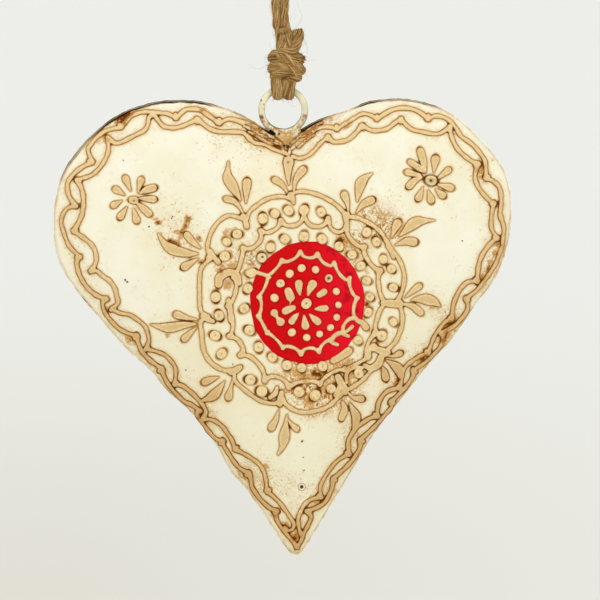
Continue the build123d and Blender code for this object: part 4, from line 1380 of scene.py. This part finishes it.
def twine(heap, line, wide, thick, twist=jute["twistPerMm"], hairs=1.0, tone=0.0):
    # line and wide, half the twine's width, in millimetres; thick as a share of wide
    line = evenLine(smoothSpace(line, 0.5), jute["fibreStep"])
    along, across, over = lineFrames(line)
    far = alongLine(line)

    def lump(share, rate):
        return share * np.sin(far * rate + fibreDice.uniform(0, 6))

    def spoke(at, angle, reach=1):
        wideAt, thickAt = np.cos(angle) * wide[at] * reach, np.sin(angle) * thick[at] * reach
        return across[at] * wideAt[..., None] + over[at] * thickAt[..., None]

    if not np.isscalar(wide):
        wide = np.interp(far / far[-1], np.linspace(0, 1, len(wide)), wide)
    wide = wide * (1 + lump(0.04, 0.9) + lump(0.03, 2.3))
    thick = wide * thick
    coreWide, coreThick = wide * jute["coreShare"], thick * jute["coreShare"]
    heap.tube(line, across * coreWide[:, None], over * coreThick[:, None],
              jute["coreSides"], jute["coreTone"] + tone)
    lanes = int(2 * math.pi * wide.mean() / (jute["fibreHalf"] * 1.5))
    for lane in range(lanes):
        at = -fibreDice.uniform(0, 12)
        while at < far[-1] - 1:
            run = fibreDice.uniform(*jute["fibreRun"])
            inside = (far >= at) & (far <= at + run)
            at += run * 0.86
            if inside.sum() < 4:
                continue
            s = far[inside]
            t = (s - s[0]) / (s[-1] - s[0])
            angle = 2 * math.pi * (lane + fibreDice.uniform(-0.5, 0.5)) / lanes + twist * s
            sway = fibreDice.uniform(0.04, 0.26)
            angle = angle + sway * np.sin(s * fibreDice.uniform(0.3, 0.8) + fibreDice.uniform(0, 6))
            lift = fibreDice.uniform(0.86, 1.02) - 0.12 * (2 * t - 1) ** 8
            out = spoke(inside, angle)
            centres = line[inside] + out * lift[:, None]
            radial = out / np.linalg.norm(out, axis=1)[:, None]
            half = jute["fibreHalf"] * fibreDice.uniform(0.7, 1.25) * (1 - 0.6 * (2 * t - 1) ** 6)
            beside = np.cross(directions(centres), radial)
            fibreTone = np.clip(fibreDice.normal(*jute["fibreTone"]), 0, 1.1) + tone
            heap.tube(centres, radial * half[:, None] * 0.9, -beside * half[:, None] * 1.25,
                      jute["fibreSides"], fibreTone)
    for _ in range(int(far[-1] * jute["hairsPerMm"] * hairs)):
        i = fibreDice.integers(1, len(line) - 1)
        angle = fibreDice.uniform(0, 2 * math.pi)
        out = across[i] * math.cos(angle) + over[i] * math.sin(angle)
        root = line[i] + spoke(i, angle, 0.9)
        reach = min(fibreDice.gamma(2, 0.28), jute["hairReach"])
        length = fibreDice.uniform(*jute["hairLength"]) * fibreDice.choice([-1, 1])
        t = np.linspace(0, 1, 8)[:, None]
        spread, most = jute["hairBend"]
        bend = np.clip(fibreDice.normal(0, spread, 3), -most, most)
        centres = root + out * reach * np.sin(t * 2.2) + along[i] * length * t * (1 - 0.3 * t) + bend * t**2
        if ringRoom(centres) > ring["hairRoom"]:
            hair(heap, centres, out, jute["hairTone"])


def smoothSpace(points, step):
    return smoothLine(np.asarray(points, float), step)


def inSpace(table):
    # x and y in pixels and the depth in millimetres, to millimetres in the frame
    rows = np.asarray(table, float)
    flat = inMillimetres(rows[:, :2])
    return np.column_stack([flat[:, 0], rows[:, 2], flat[:, 1]])


loopRoute = [
    (-0.00125, 0, -0.036), (-0.00125, 0, -0.02376), (-0.0043, 0, -0.00864), (-0.0043, 0, -0.000517),
    (0, 0, 0.001965), (0.0043, 0, -0.000517), (0.0043, 0, -0.00864), (0.00125, 0, -0.02376),
    (0.00125, 0, -0.036),
]


def routeLine(points):
    # the points that the route's spline follows
    curve = bpy.data.curves.new("cordRoute", "CURVE")
    curve.dimensions = "3D"
    spline = curve.splines.new("NURBS")
    spline.points.add(len(points) - 1)
    for point, place in zip(spline.points, points):
        point.co = (*place, 1)
    spline.order_u = 3
    spline.use_endpoint_u = True
    spline.resolution_u = 12
    guide = bpy.data.objects.new("cordRoute", curve)
    mesh = bpy.data.meshes.new_from_object(guide)
    line = np.array([v.co[:] for v in mesh.vertices])
    bpy.data.objects.remove(guide)
    bpy.data.curves.remove(curve)
    bpy.data.meshes.remove(mesh)
    return line


loopLine = routeLine(loopRoute)
loopHeap = MeshHeap()
twine(loopHeap, loopLine / millimetre, 1.37, 1.0)
cordLoop = loopHeap.mesh("cordLoop")
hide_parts("cord_loop")
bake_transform(cordLoop, "hanger", "knot", (0, 0, -0.010), (0, 0, -0.036))

knotWay = [
    (297.6, 29, -1.0), (298.6, 37, -1.3), (296, 45, -1.9), (291, 51.5, -2.6), (284, 53, -3.1),
    (276, 54.5, -2.6), (272.4, 57.5, 0), (276, 57, 2.9), (286, 55.5, 3.8), (296, 56, 2.4), (300.4, 59, -0.6),
    (296, 60, -3), (287, 61.5, -4.1), (278, 65, -3.7), (272.4, 68, -0.6), (277, 67.5, 2.8), (286, 66, 3.8),
    (296, 66.5, 2.7), (300.8, 69.5, -0.4), (297, 71, -3.1), (288, 70.5, -4.4), (279, 73.5, -3.6),
    (274.8, 76, -0.6), (279, 76.5, 2.3), (287, 76, 3.1), (295, 75.8, 1.6), (297.2, 76.5, -1.2),
    (292, 77.5, -2.6), (285, 77.5, -2.8),
]
knotBands = [
    ([(273, 51.5, -1.2), (280, 55, -3.6), (288, 58.5, -4.7), (296, 64, -4), (300.5, 69, -1.8)],
     [1.2, 1.5, 1.5, 1.4, 1]),
    ([(271.8, 63, -1), (277, 62.5, -3.4), (284, 66, -5.1), (292, 71, -4.9), (297, 76, -2.5)],
     [1, 1.3, 1.4, 1.3, 1]),
]
neckWays = [
    [(277.9, 22, 0), (278.4, 30, -0.2), (280.2, 37, -0.5), (281.5, 45, -0.7), (283, 55, 0)],
    [(286.6, 22, 0), (287.2, 30, -0.3), (288.4, 37, -0.6), (287.6, 45, -0.7), (286, 55, 0)],
]
neckBands = [
    ([(278.5, 52, -1.6), (279.8, 46, -2.1), (281.5, 40.5, -2.2), (284.2, 34.5, -2)], [1.1, 0.9, 0.7, 0.4]),
    ([(293.5, 52, -1.8), (291, 46, -2.3), (287.8, 40.5, -2.4), (284.6, 34.5, -2)], [1.1, 0.9, 0.7, 0.4]),
    ([(283.5, 54, -2), (284.6, 48, -2.6), (286, 42, -2.3)], [1.2, 1, 0.5]),
    ([(278, 33, -0.6), (284, 29.5, -1.6), (290.5, 33, -0.9), (293, 40, -0.6)], [0.5, 0.9, 1, 0.7]),
]
bights = {
    "middles": (-1.75, 2.2),
    "way": [(-1.9, -51.2), (-2.7, -53.8), (-2.75, -56.0), (-1.9, -57.9), (0, -58.75),
            (1.9, -57.9), (2.75, -56.0), (2.7, -53.8), (1.9, -51.2)],
    "wide": [1.9, 2.15, 2.15, 1.85, 1.6, 1.85, 2.15, 2.15, 1.9],
    "thick": 0.63,
}
strayHairs = [
    (-0.2, [(273, 61, -2.5), (270.8, 60.2, -2.5), (267.2, 57.7, -2.5), (264.2, 57.1, -2.5),
     (264.7, 60.2, -2.4), (267.2, 63.3, -2.3), (266.5, 66.8, -2.2)]),
    (0.6, [(270, 64, -1), (265.2, 65.3, -1), (261.6, 67.9, -1.2), (255, 68.4, -1.4), (248.5, 63.5, -1.6)]),
    (0.6, [(291, 30, -1), (296, 27, -1), (300.3, 21, -1), (301.7, 15.3, -1), (299.4, 9, -1), (296.8, 1, -1)]),
    (0.7, [(276, 22, -1), (272, 16, -1), (270, 9, -1), (272, 2, -1)]),
    (0.7, [(278, 48, -2), (273, 50, -2), (270, 46, -2), (269.5, 42, -2)]),
    (0.6, [(300, 36, -1.5), (303.5, 39.5, -1.5), (306.5, 45, -1.5), (307.6, 51, -1.5), (306, 57, -1.5)]),
    (0.7, [(303, 62, -1.5), (307, 61.5, -1.5), (310.5, 59.8, -1.5), (314, 59.2, -1.5)]),
    (0.7, [(286, 99, -2.6), (288.5, 103, -2.6), (292, 106, -2.6), (296, 106.3, -2.4), (298.6, 103.5, -2.2)]),
    (0.7, [(269, 70, -1), (266, 73, -1), (267, 77, -1), (271, 79, -1)]),
    (0.7, [(304, 72, -1), (307, 75, -1), (307.5, 79, -1)]),
    (0.7, [(273, 84, -2), (270, 86, -2), (269.5, 90, -2), (272, 92, -2)]),
    (0.7, [(295, 84, -2), (298, 83, -2), (300.5, 85.5, -2)]),
]

knotHeap = MeshHeap()
twine(knotHeap, inSpace(knotWay), 1.72, 1.0, twist=0.32, hairs=0.8)
for tone, way in strayHairs:
    centres = smoothSpace(inSpace(way), 0.5)
    if ringRoom(centres) > ring["strayRoom"]:
        hair(knotHeap, centres, np.array([0, -1, 0.02]), tone)
for way, wide in knotBands:
    twine(knotHeap, inSpace(way), wide, 0.75, twist=0.4, tone=0.05)
pressOffRing(knotHeap)
cordKnot = knotHeap.mesh("cordKnot")
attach(cordKnot, "knot")
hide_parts("cord_knot")

neckHeap = MeshHeap()
for way in neckWays:
    twine(neckHeap, inSpace(way), [0.9, 1.2, 1.6, 1.75, 1.6], 1.0, twist=0.22)
for way, wide in neckBands:
    twine(neckHeap, inSpace(way), wide, 0.8, twist=0.35, tone=0.1)
cordNeck = neckHeap.mesh("cordNeck")
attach(cordNeck, "knot")
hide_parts("cord_core")

bightHeap = MeshHeap()
for middle in bights["middles"]:
    way = [(0.25 + (middle - 0.25) * (1 if z > -56 else 0.9), y, z) for y, z in bights["way"]]
    twine(bightHeap, way, bights["wide"], bights["thick"], twist=0.11, tone=0.2)
pressOffRing(bightHeap)
cordBights = bightHeap.mesh("cordBights")
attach(cordBights, "knot")
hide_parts("cord_bights")
cordPieces = (cordLoop, cordKnot, cordNeck, cordBights)
print("cord twisted:", sum(len(p.data.polygons) for p in cordPieces), "faces; room for the ring:",
      [round(ringRoom(np.vstack(h.points)), 3) for h in (knotHeap, neckHeap, bightHeap)])

ringSpots = [
    (261, 100, 1.3, 1), (263.5, 104, 1.2, 0.9), (261, 116.5, 3, 0.9), (263, 121, 2.5, 0.7),
    (304.5, 116, 2.6, 0.9), (302, 120, 2, 0.6), (269, 124, 2.4, 0.7), (275, 129, 2.6, 0.8),
    (279, 132, 3, 0.9), (290, 133, 3, 0.5), (298, 127, 2.5, 0.5), (264, 109, 1.3, 0.5), (303, 99, 1.2, 0.4),
    (284, 134, 3, 0.5),
]


def makeRing():
    clearSelection()
    bpy.ops.mesh.primitive_torus_add(
        major_radius=ring["radius"], minor_radius=ring["wire"], major_segments=180, minor_segments=28
    )
    piece = named("hangingRing")
    editAll(bpy.ops.transform.rotate, value=math.pi / 2, orient_axis="X", center_override=(0, 0, 0))
    editAll(bpy.ops.transform.translate, value=ring["middle"])
    co = readPoints(piece)
    flat = co - np.array(ring["middle"])
    reach = np.hypot(flat[:, 0], flat[:, 2])
    radial = np.column_stack([flat[:, 0] / reach, np.zeros(len(co)), flat[:, 2] / reach])
    wireAt = radial * ring["radius"]
    out = flat - wireAt
    lump = ring["wobble"] * millimetre * ripple(co[:, 0] + co[:, 1], co[:, 2] - co[:, 1], 0.003)
    swell = 1 + lump / ring["wire"] + ring["lowSwell"] * np.clip(-flat[:, 2] / ring["radius"], 0, 1)
    writePoints(piece, np.array(ring["middle"]) + wireAt + out * swell[:, None])
    paintPoints(piece, "inner", -np.sum(out * radial, axis=1) / ring["wire"])
    paintPoints(piece, "low", -flat[:, 2] / ring["radius"])
    paintPoints(piece, "grime", spotSum(ringSpots, co[:, 0], co[:, 2]))
    bpy.ops.object.shade_smooth()
    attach(piece, "heart")
    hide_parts("hanging_ring")
    return piece


hangingRing = makeRing()

# The lump that holds the ring: blobs round the wire, and streaks of paste drawn over the cleft
cleftBlobs = [
    [(271, 129.5, 0, 1.15), (277, 134, -0.3, 1.5), (283, 136.5, -0.5, 1.7), (289, 136.5, -0.5, 1.7),
     (296, 133.5, -0.3, 1.5), (301, 128.5, 0, 1.1)],
    [(277, 137.5, -1.2, 1.5), (284, 140, -1.6, 1.6), (292, 138, -1.2, 1.5)],
    [(281, 141, -2.2, 1.2), (284, 145.5, -3.4, 0.9)], [(292, 140, -2.2, 1.3), (291, 145, -3.4, 1)],
    [(273, 134, 0.9, 1.1), (284, 138, 1.4, 1.6), (297, 132.5, 0.9, 1.1)],
    [(285, 133.5, -1.1, 0.6), (291, 136, -1.9, 0.55), (296, 137, -2.3, 0.5)],
    [(293, 131.5, -1.1, 0.6), (297, 134, -1.8, 0.5), (299, 138, -2.6, 0.5)],
    [(278, 131.5, -1, 0.5), (283, 135.5, -1.7, 0.55), (286, 140.5, -2.8, 0.5)],
    [(275, 135, -1.2, 0.6), (280, 139.5, -2.2, 0.5), (281, 145, -3.6, 0.5)],
    [(286, 143, -3, 0.7), (285.5, 146, -3.8, 0.6)],
]


cleft = {
    "step": 0.4,
    "voxel": 0.16,
    "fineLump": (0.0016, 0.00012),
    "broadLump": (0.0032, 0.00018),
}


def makeCleft():
    rows = [np.asarray(table, float) for table in cleftBlobs]
    rows = [smoothSpace(np.column_stack([inSpace(row[:, :3]), row[:, 3]]), cleft["step"]) for row in rows]
    lump = fusedTubes("cleftPaste", rows, 4, cleft["voxel"])
    co = readPoints(lump) * millimetre
    away = co - co.mean(axis=0)
    away /= np.linalg.norm(away, axis=1)[:, None]
    (fineSize, fineRise), (broadSize, broadRise) = cleft["fineLump"], cleft["broadLump"]
    rough = ripple(co[:, 0] + co[:, 1] * 0.7, co[:, 2], fineSize) * fineRise
    rough = rough + ripple(co[:, 0], co[:, 2] + co[:, 1], broadSize) * broadRise
    writePoints(lump, co + away * rough[:, None])
    pickOnly(lump)
    bpy.ops.object.shade_smooth()
    streaks = pipePaste("cleftStreaks", None, cleftStrokes)
    pickOnly(lump, streaks)
    bpy.ops.object.join()
    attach(lump, "heart")
    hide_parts("ring_solder")
    co = readPoints(lump)
    paintFace(lump, co[:, 0], co[:, 2])
    return lump


cleftPaste = makeCleft()


bead = {
    "step": 0.0008,
    "sides": 10,
    "out": 0.6,
    "in": 0.45,
    "thick": 1.15,
}


def makeBead():
    # the solder bead round the rim
    reach = shellLow.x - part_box("rim_seam")[0].x
    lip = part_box("rim_seam")[1].y
    line = np.vstack([rimSide("leftPx", bead["step"])[:-1], rimSide("rightPx", bead["step"])[::-1][:-1]])
    around = np.roll(line, -1, axis=0) - np.roll(line, 1, axis=0)
    around /= np.linalg.norm(around, axis=1)[:, None]
    outward = np.column_stack([around[:, 1], -around[:, 0]])
    outward *= np.sign(np.sum(outward * (line - heartMiddle), axis=1))[:, None]
    turn = np.linspace(0, 2 * math.pi, bead["sides"], endpoint=False)
    far = alongLine(line)
    uneven = 1 + 0.16 * np.sin(far * 900) * np.sin(far * 370 + 1) + 0.1 * np.sin(far * 2100 + 2)
    rows, backs = [], []
    for angle in turn:
        backs.append(np.full(len(line), 0.6 * math.cos(angle) + 0.5 * math.sin(angle)))
        rise = reach * (bead["in"] + bead["out"] * math.cos(angle)) * uneven
        x, z = (line + outward * rise[:, None]).T
        rows.append(np.column_stack([x, lip * bead["thick"] * math.sin(angle) * uneven, z]))
    points = np.stack(rows, axis=1).reshape(-1, 3)
    n, k = len(line), len(turn)
    i, j = np.meshgrid(np.arange(n), np.arange(k), indexing="ij")
    here, over = i * k + j, i * k + (j + 1) % k
    ahead, both = ((i + 1) % n) * k + j, ((i + 1) % n) * k + (j + 1) % k
    faces = np.stack([here, over, both, ahead], -1).reshape(-1, 4)
    mesh = bpy.data.meshes.new("rimBead")
    mesh.from_pydata(points.tolist(), [], faces.tolist())
    piece = bpy.data.objects.new("rimBead", mesh)
    bpy.context.collection.objects.link(piece)
    pickOnly(piece)
    editAll(bpy.ops.mesh.normals_make_consistent, inside=False)
    bpy.ops.object.shade_smooth()
    paintPoints(piece, "rimWear", rimWearAt(points[:, 0], points[:, 2]))
    paintPoints(piece, "outer", np.stack(backs, axis=1).ravel())
    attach(piece, "heart")
    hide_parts("rim_seam")
    return piece


rimBead = makeBead()
print("ring, cleft and rim made")

def shellPaint():
    paint = Paint("antiquedCream", "cream")
    gap, crowd, around, dots = paint.attributes("pasteGap", "crowd", "around", "dotGap")
    rim, wear, grime, speckle, markAndGapShadow = paint.attributes("rimGap", "rimWear", "grime", "speckle", "markAndGapShadow")
    dotted = (dots - gap).fall(0.1, 0.5)
    across, up = paint.places()
    low = up.fall(-0.19, -0.11)
    broad = paint.noise(0.028, 3)
    patch = paint.noise(0.008, 5, 0.65)
    fine = paint.noise(0.0015, 5, 0.7)
    grain = paint.noise(0.0008, 4, 0.75)
    curl = paint.noise(0.0021, 3, 0.55, None, 0.9)
    speck = paint.noise(0.00075, 2, 0.6)
    dash = paint.noise(0.0011, 3, 0.7, paint.stretched((1, 1, 0.55)))
    wipe = paint.noise(0.0013, 3, 0.6, paint.stretched((1, 1, 0.16), (0, 0.9, 0)))
    paint.lay((broad + low * 0.3).rise(0.4, 0.72) * 0.75, "creamDeep")
    border = rim.fall(8, 15)
    zone = around.rise(0.18, 0.3).most(border * 0.5)
    paint.lay(zone * (0.3 + patch * 0.7).least(1), "creamWash")
    paint.lay((fine * 0.6 + patch * 0.4).rise(0.5, 0.66) * (0.14 + speckle * 0.3), "tanWash")
    paint.lay((wipe * 0.7 + patch * 0.5).rise(0.62, 0.8) * (low * 0.25 + 0.2), "creamWash")
    wash = (crowd * 0.8 + fine * 2.4 - 0.95).most(0.05).least(1)
    paint.lay((gap / (zone * 0.6 + border * 1.6 + 0.4)).fall(0, 1) * wash * 0.85, "tanWash")
    halo = (gap + (fine - 0.5) * 0.5).fall(0.05, 0.62)
    paint.lay(halo * (0.8 - dotted * 0.25), "tanWash")
    # darker tan along the rim, stronger where the paint is worn: partly rim wear, partly painted edge shade
    edge = (rim + (patch - 0.5) * 1.6).fall(0.0, 1.1) * (wear * 0.8 + 0.2)
    paint.lay(edge * 0.5, "tanDeep")
    curls = curl.ridge(0.5, 0.12) * (patch * 0.5 + grain * 0.5).rise(0.42, 0.56)
    curls = curls.most(curl.ridge(0.36, 0.08) * (patch * 0.4 + grain * 0.6).rise(0.44, 0.58))
    curls = curls * speckle.rise(0.2, 0.65)
    paint.lay(curls * zone.most(0.25) * 0.85, "orangeBrown")
    paint.lay((curls * zone * (grain * 0.6 + 0.5)).rise(0.45, 0.8) * 0.85, "brown")
    specks = (speck + (speckle - 0.35) * 0.14).rise(0.61, 0.68) * (patch + speckle * 0.3).rise(0.46, 0.6)
    paint.lay(specks * 0.7, "speck")
    flecks = (dash + (speckle - 0.5) * 0.12).rise(0.65, 0.69) * (patch + speckle * 0.3).rise(0.5, 0.62)
    paint.lay(flecks * (speckle * 0.9 + 0.1).least(1), "orangeBrown")
    paint.lay((flecks * speckle).rise(0.6, 0.9), "brown")
    stain = (grime * (fine * 1.5 + grain * 1.7 - 0.95)).rise(0.14, 0.45)
    paint.lay(stain * 0.85, "orangeBrown")
    paint.lay((grime * (fine * 1.3 + grain * 1.3 - 0.55)).rise(0.58, 0.85) * 0.9, "brown")
    paint.lay((grime * (fine * 1.0 + grain * 0.9 - 0.1)).rise(0.92, 1.12) * 0.95, "darkBrown")
    ragged = gap + (fine - 0.5) * 0.7 + (patch - 0.5) * 0.5
    line = (crowd * 1.2 + patch * 1.5 + border * (low * 0.6 + 0.2) - 0.5).most(0.5).least(1)
    paint.lay(ragged.fall(0.04, 0.3) * line * (0.9 - dotted * 0.5), "brown")
    dark = ragged.fall(-0.05, 0.2) * (patch + border * (low * 0.15 + 0.06)).rise(0.52, 0.64)
    paint.lay(dark * (0.85 - dotted * 0.7), "darkBrown")
    # dark brown at the paste's foot where paste crowds: pooled wash, and painted shade in these crevices
    nookWashAndShade = gap.fall(0.1, 0.55) * (crowd + (patch - 0.5) * 0.5 + grime * 0.2).rise(0.5, 0.66)
    paint.lay(nookWashAndShade * (0.85 - dotted * 0.6), "darkBrown")
    worn = (rim + (patch - 0.5) * 2.0 - wear * 0.7).fall(-0.25, 0.15) * wear.rise(0.55, 0.9)
    paint.lay(worn * 0.95, "black")
    # black pin holes and dabs, and painted shadow in the gaps beside the cleft
    paint.lay(markAndGapShadow.least(1) * 0.95, "black")
    paint.lay(paint.away(pinRing[:2], across, up).ridge(pinRing[2], 0.8) * 0.75, "brown")
    pins = grain * 0
    for px, py, radius in shellPins:
        pins = pins.most(paint.away((px, py), across, up).fall(radius * 0.7, radius * 1.25))
    paint.lay(pins * 0.95, "black")
    return paint.finish((0.44 + patch * 0.16).most(worn), 0.05, paint.bump(fine * 0.5 + patch, 0.00006))


def pastePaint():
    paint = Paint("pipedPaste", "tan")
    gap, crowd, dots = paint.attributes("pasteGap", "crowd", "dotGap")
    grime, rim, markAndGapShadow = paint.attributes("grime", "rimGap", "markAndGapShadow")
    dotted = dots.fall(0.05, 0.25)
    patch = paint.noise(0.007, 4, 0.65)
    fine = paint.noise(0.0011, 4, 0.7)
    paint.lay((patch + dotted * 0.2).rise(0.36, 0.62), "tanLight")
    paint.lay((fine + patch * 0.5).rise(0.7, 0.95) * 0.5, "tanDeep")
    paint.lay(gap.fall(-1.2, -0.35) * (0.8 - dotted * 0.8), "tanLeaf")
    _, up = paint.places()
    low = up.fall(-0.2, -0.08)
    border = rim.fall(6, 15)
    # painted light and shade: the border trails are lighter at the top and darker lower down
    paint.lay(border * up.rise(-0.1, -0.06) * 0.8, "tanLight")
    paint.lay(border * (patch * 0.35 + low * 0.5 - 0.05).most(0), "tanDeep")
    shade = (gap + (fine - 0.5) * 0.3).rise(-0.46, -0.12) * (border * (low * 0.4 + 0.35) + 0.12)
    paint.lay(shade, "orangeBrown")
    line = (patch * 1.6 + border * low * 0.9 - 0.25).most(0.35).least(1)
    paint.lay((gap + (fine - 0.5) * 0.35).rise(-0.24, -0.04) * line * (0.85 - dotted * 0.4), "brown")
    dark = (gap + (fine - 0.5) * 0.3).rise(-0.12, 0.02) * (patch + border * low * 0.2).rise(0.5, 0.62)
    paint.lay(dark * (0.8 - dotted * 0.7), "darkBrown")
    # dark brown on the paste's edge where paste crowds: pooled wash, and painted shade in these crevices
    nookWashAndShade = (crowd + (patch - 0.5) * 0.5 + grime * 0.15).rise(0.56, 0.74)
    paint.lay((gap + (fine - 0.5) * 0.2).rise(-0.28, -0.02) * nookWashAndShade * 0.8, "darkBrown")
    stain = (grime * (fine * 1.6 - 0.05)).rise(0.25, 0.7)
    paint.lay(stain * 0.6, "orangeBrown")
    paint.lay((grime * (fine * 1.6)).rise(0.6, 0.95) * 0.8, "brown")
    # black pin holes and dabs, and painted shadow in the gaps beside the cleft
    paint.lay(markAndGapShadow.least(1) * 0.9, "black")
    return paint.finish(0.5 + fine * 0.15, 0.12, paint.bump(fine, 0.00006))


def enamelPaint():
    paint = Paint("redEnamel", "red")
    gap, edge, mottle, side = paint.attributes("pasteGap", "edgeGap", "mottle", "side")
    patch = paint.noise(0.0035, 5, 0.75)
    fine = paint.noise(0.0012, 4, 0.7)
    # painted light: the red turns brighter towards the right side of the disc
    paint.lay((side + (patch - 0.5) * 0.8).rise(-0.2, 0.7), "redBright")
    paint.lay((patch + mottle * 0.22).rise(0.56, 0.78) * 0.75, "redDeep")
    line = (gap + (fine - 0.5) * 0.5).fall(0.0, 0.35)
    paint.lay(line * 0.45, "redDeep")
    paint.lay((edge + (fine - 0.5) * 0.8).fall(0.0, 0.35) * 0.3, "redDeep")
    return paint.finish(0.34, 0.1, paint.bump(fine * 0.4 + patch, 0.00008))


def jutePaint():
    paint = Paint("juteFibre", "juteDark")
    (tone,) = paint.attributes("tone")
    broad = paint.noise(0.004, 3)
    fine = paint.noise(0.0006, 3, 0.7)
    value = tone + (fine - 0.5) * 0.5 + (broad - 0.5) * 0.5
    paint.lay(value.rise(0.0, 0.5), "jute")
    paint.lay(value.rise(0.45, 0.95), "juteLight")
    paint.lay(broad.rise(0.55, 0.7) * 0.35, "juteWarm")
    return paint.finish(0.85, 0.1)


def ringPaint():
    paint = Paint("ringPaint", "ringCream")
    inner, low, grime = paint.attributes("inner", "low", "grime")
    patch = paint.noise(0.004, 4, 0.65)
    fine = paint.noise(0.0009, 4, 0.7)
    paint.lay(patch.rise(0.4, 0.65), "creamDeep")
    shade = (inner * inner).rise(0.5, 1.0)
    paint.lay(shade * 0.6, "ringShade")
    wash = (low + (fine - 0.5) * 1.6).rise(0.35, 0.8) * fine.rise(0.42, 0.6)
    paint.lay(wash * 0.7, "orangeBrown")
    # painted shadow: black on the wire's inner face low on the ring, above the cleft
    innerLowShadow = (inner + (fine - 0.5) * 0.3).rise(0.66, 0.86) * low.rise(0.1, 0.7)
    paint.lay(innerLowShadow * 0.9, "black")
    stain = (grime * (fine * 1.9 - 0.15)).rise(0.15, 0.6)
    paint.lay(stain * 0.85, "brown")
    paint.lay((grime * (fine * 1.6)).rise(0.55, 0.85) * 0.9, "black")
    return paint.finish(0.38, 0.3, paint.bump(fine, 0.00005))


def cleftPaint():
    paint = Paint("cleftPaste", "tan")
    gap, markAndGapShadow, grime = paint.attributes("pasteGap", "markAndGapShadow", "grime")
    patch = paint.noise(0.0034, 4, 0.65)
    streak = paint.noise(0.0012, 4, 0.7, paint.stretched((0.5, 1, 1.3)), 0.8)
    fine = paint.noise(0.0006, 3, 0.7)
    paint.lay(streak.rise(0.38, 0.6), "orangeBrown")
    paint.lay((patch + fine * 0.3).rise(0.66, 0.8) * 0.9, "creamDeep")
    paint.lay((streak * 0.7 + fine * 0.35 + grime * 0.08).rise(0.56, 0.66) * 0.85, "brown")
    paint.lay((streak * 0.6 + fine * 0.4 + grime * 0.08).rise(0.62, 0.71) * 0.95, "darkBrown")
    paint.lay((patch * 0.6 + fine * 0.4).fall(0.3, 0.37) * 0.9, "darkBrown")
    paint.lay((gap + (fine - 0.5) * 0.3).rise(-0.3, -0.05) * gap.fall(0.3, 0.8) * 0.6, "darkBrown")
    # black marks, and painted shadow in the gaps beside the cleft
    paint.lay((markAndGapShadow + (fine - 0.5) * 0.5).rise(0.35, 0.6), "black")
    return paint.finish(0.5, 0.15, paint.bump(streak + fine * 0.4, 0.00012, 0.6))


def beadPaint():
    paint = Paint("rimBead", "cream")
    wear, outer = paint.attributes("rimWear", "outer")
    patch = paint.noise(0.006, 4, 0.7)
    fine = paint.noise(0.0012, 3, 0.7)
    paint.lay(patch.rise(0.4, 0.62) * 0.7, "tanWash")
    worn = wear + (patch - 0.5) * 1.0 + (fine - 0.5) * 0.5
    paint.lay(worn.rise(0.3, 0.6) * 0.7, "tanDeep")
    paint.lay(worn.rise(0.45, 0.75) * (outer + (fine - 0.5)).rise(-0.3, 0.2) * 0.8, "brown")
    paint.lay(worn.rise(0.55, 0.75) * (outer + (patch - 0.5) + wear * 0.5).rise(-0.1, 0.2), "black")
    return paint.finish(0.6, 0.04, paint.bump(fine, 0.00006))


for pieces, paint in (
    ((frontShell, backShell), shellPaint()),
    (pastePieces, pastePaint()),
    ((redRoundel,), enamelPaint()),
    (cordPieces, jutePaint()),
    ((hangingRing,), ringPaint()),
    ((cleftPaste,), cleftPaint()),
    ((rimBead,), beadPaint()),
):
    for piece in pieces:
        piece.data.materials.clear()
        piece.data.materials.append(paint)
print("materials mixed")
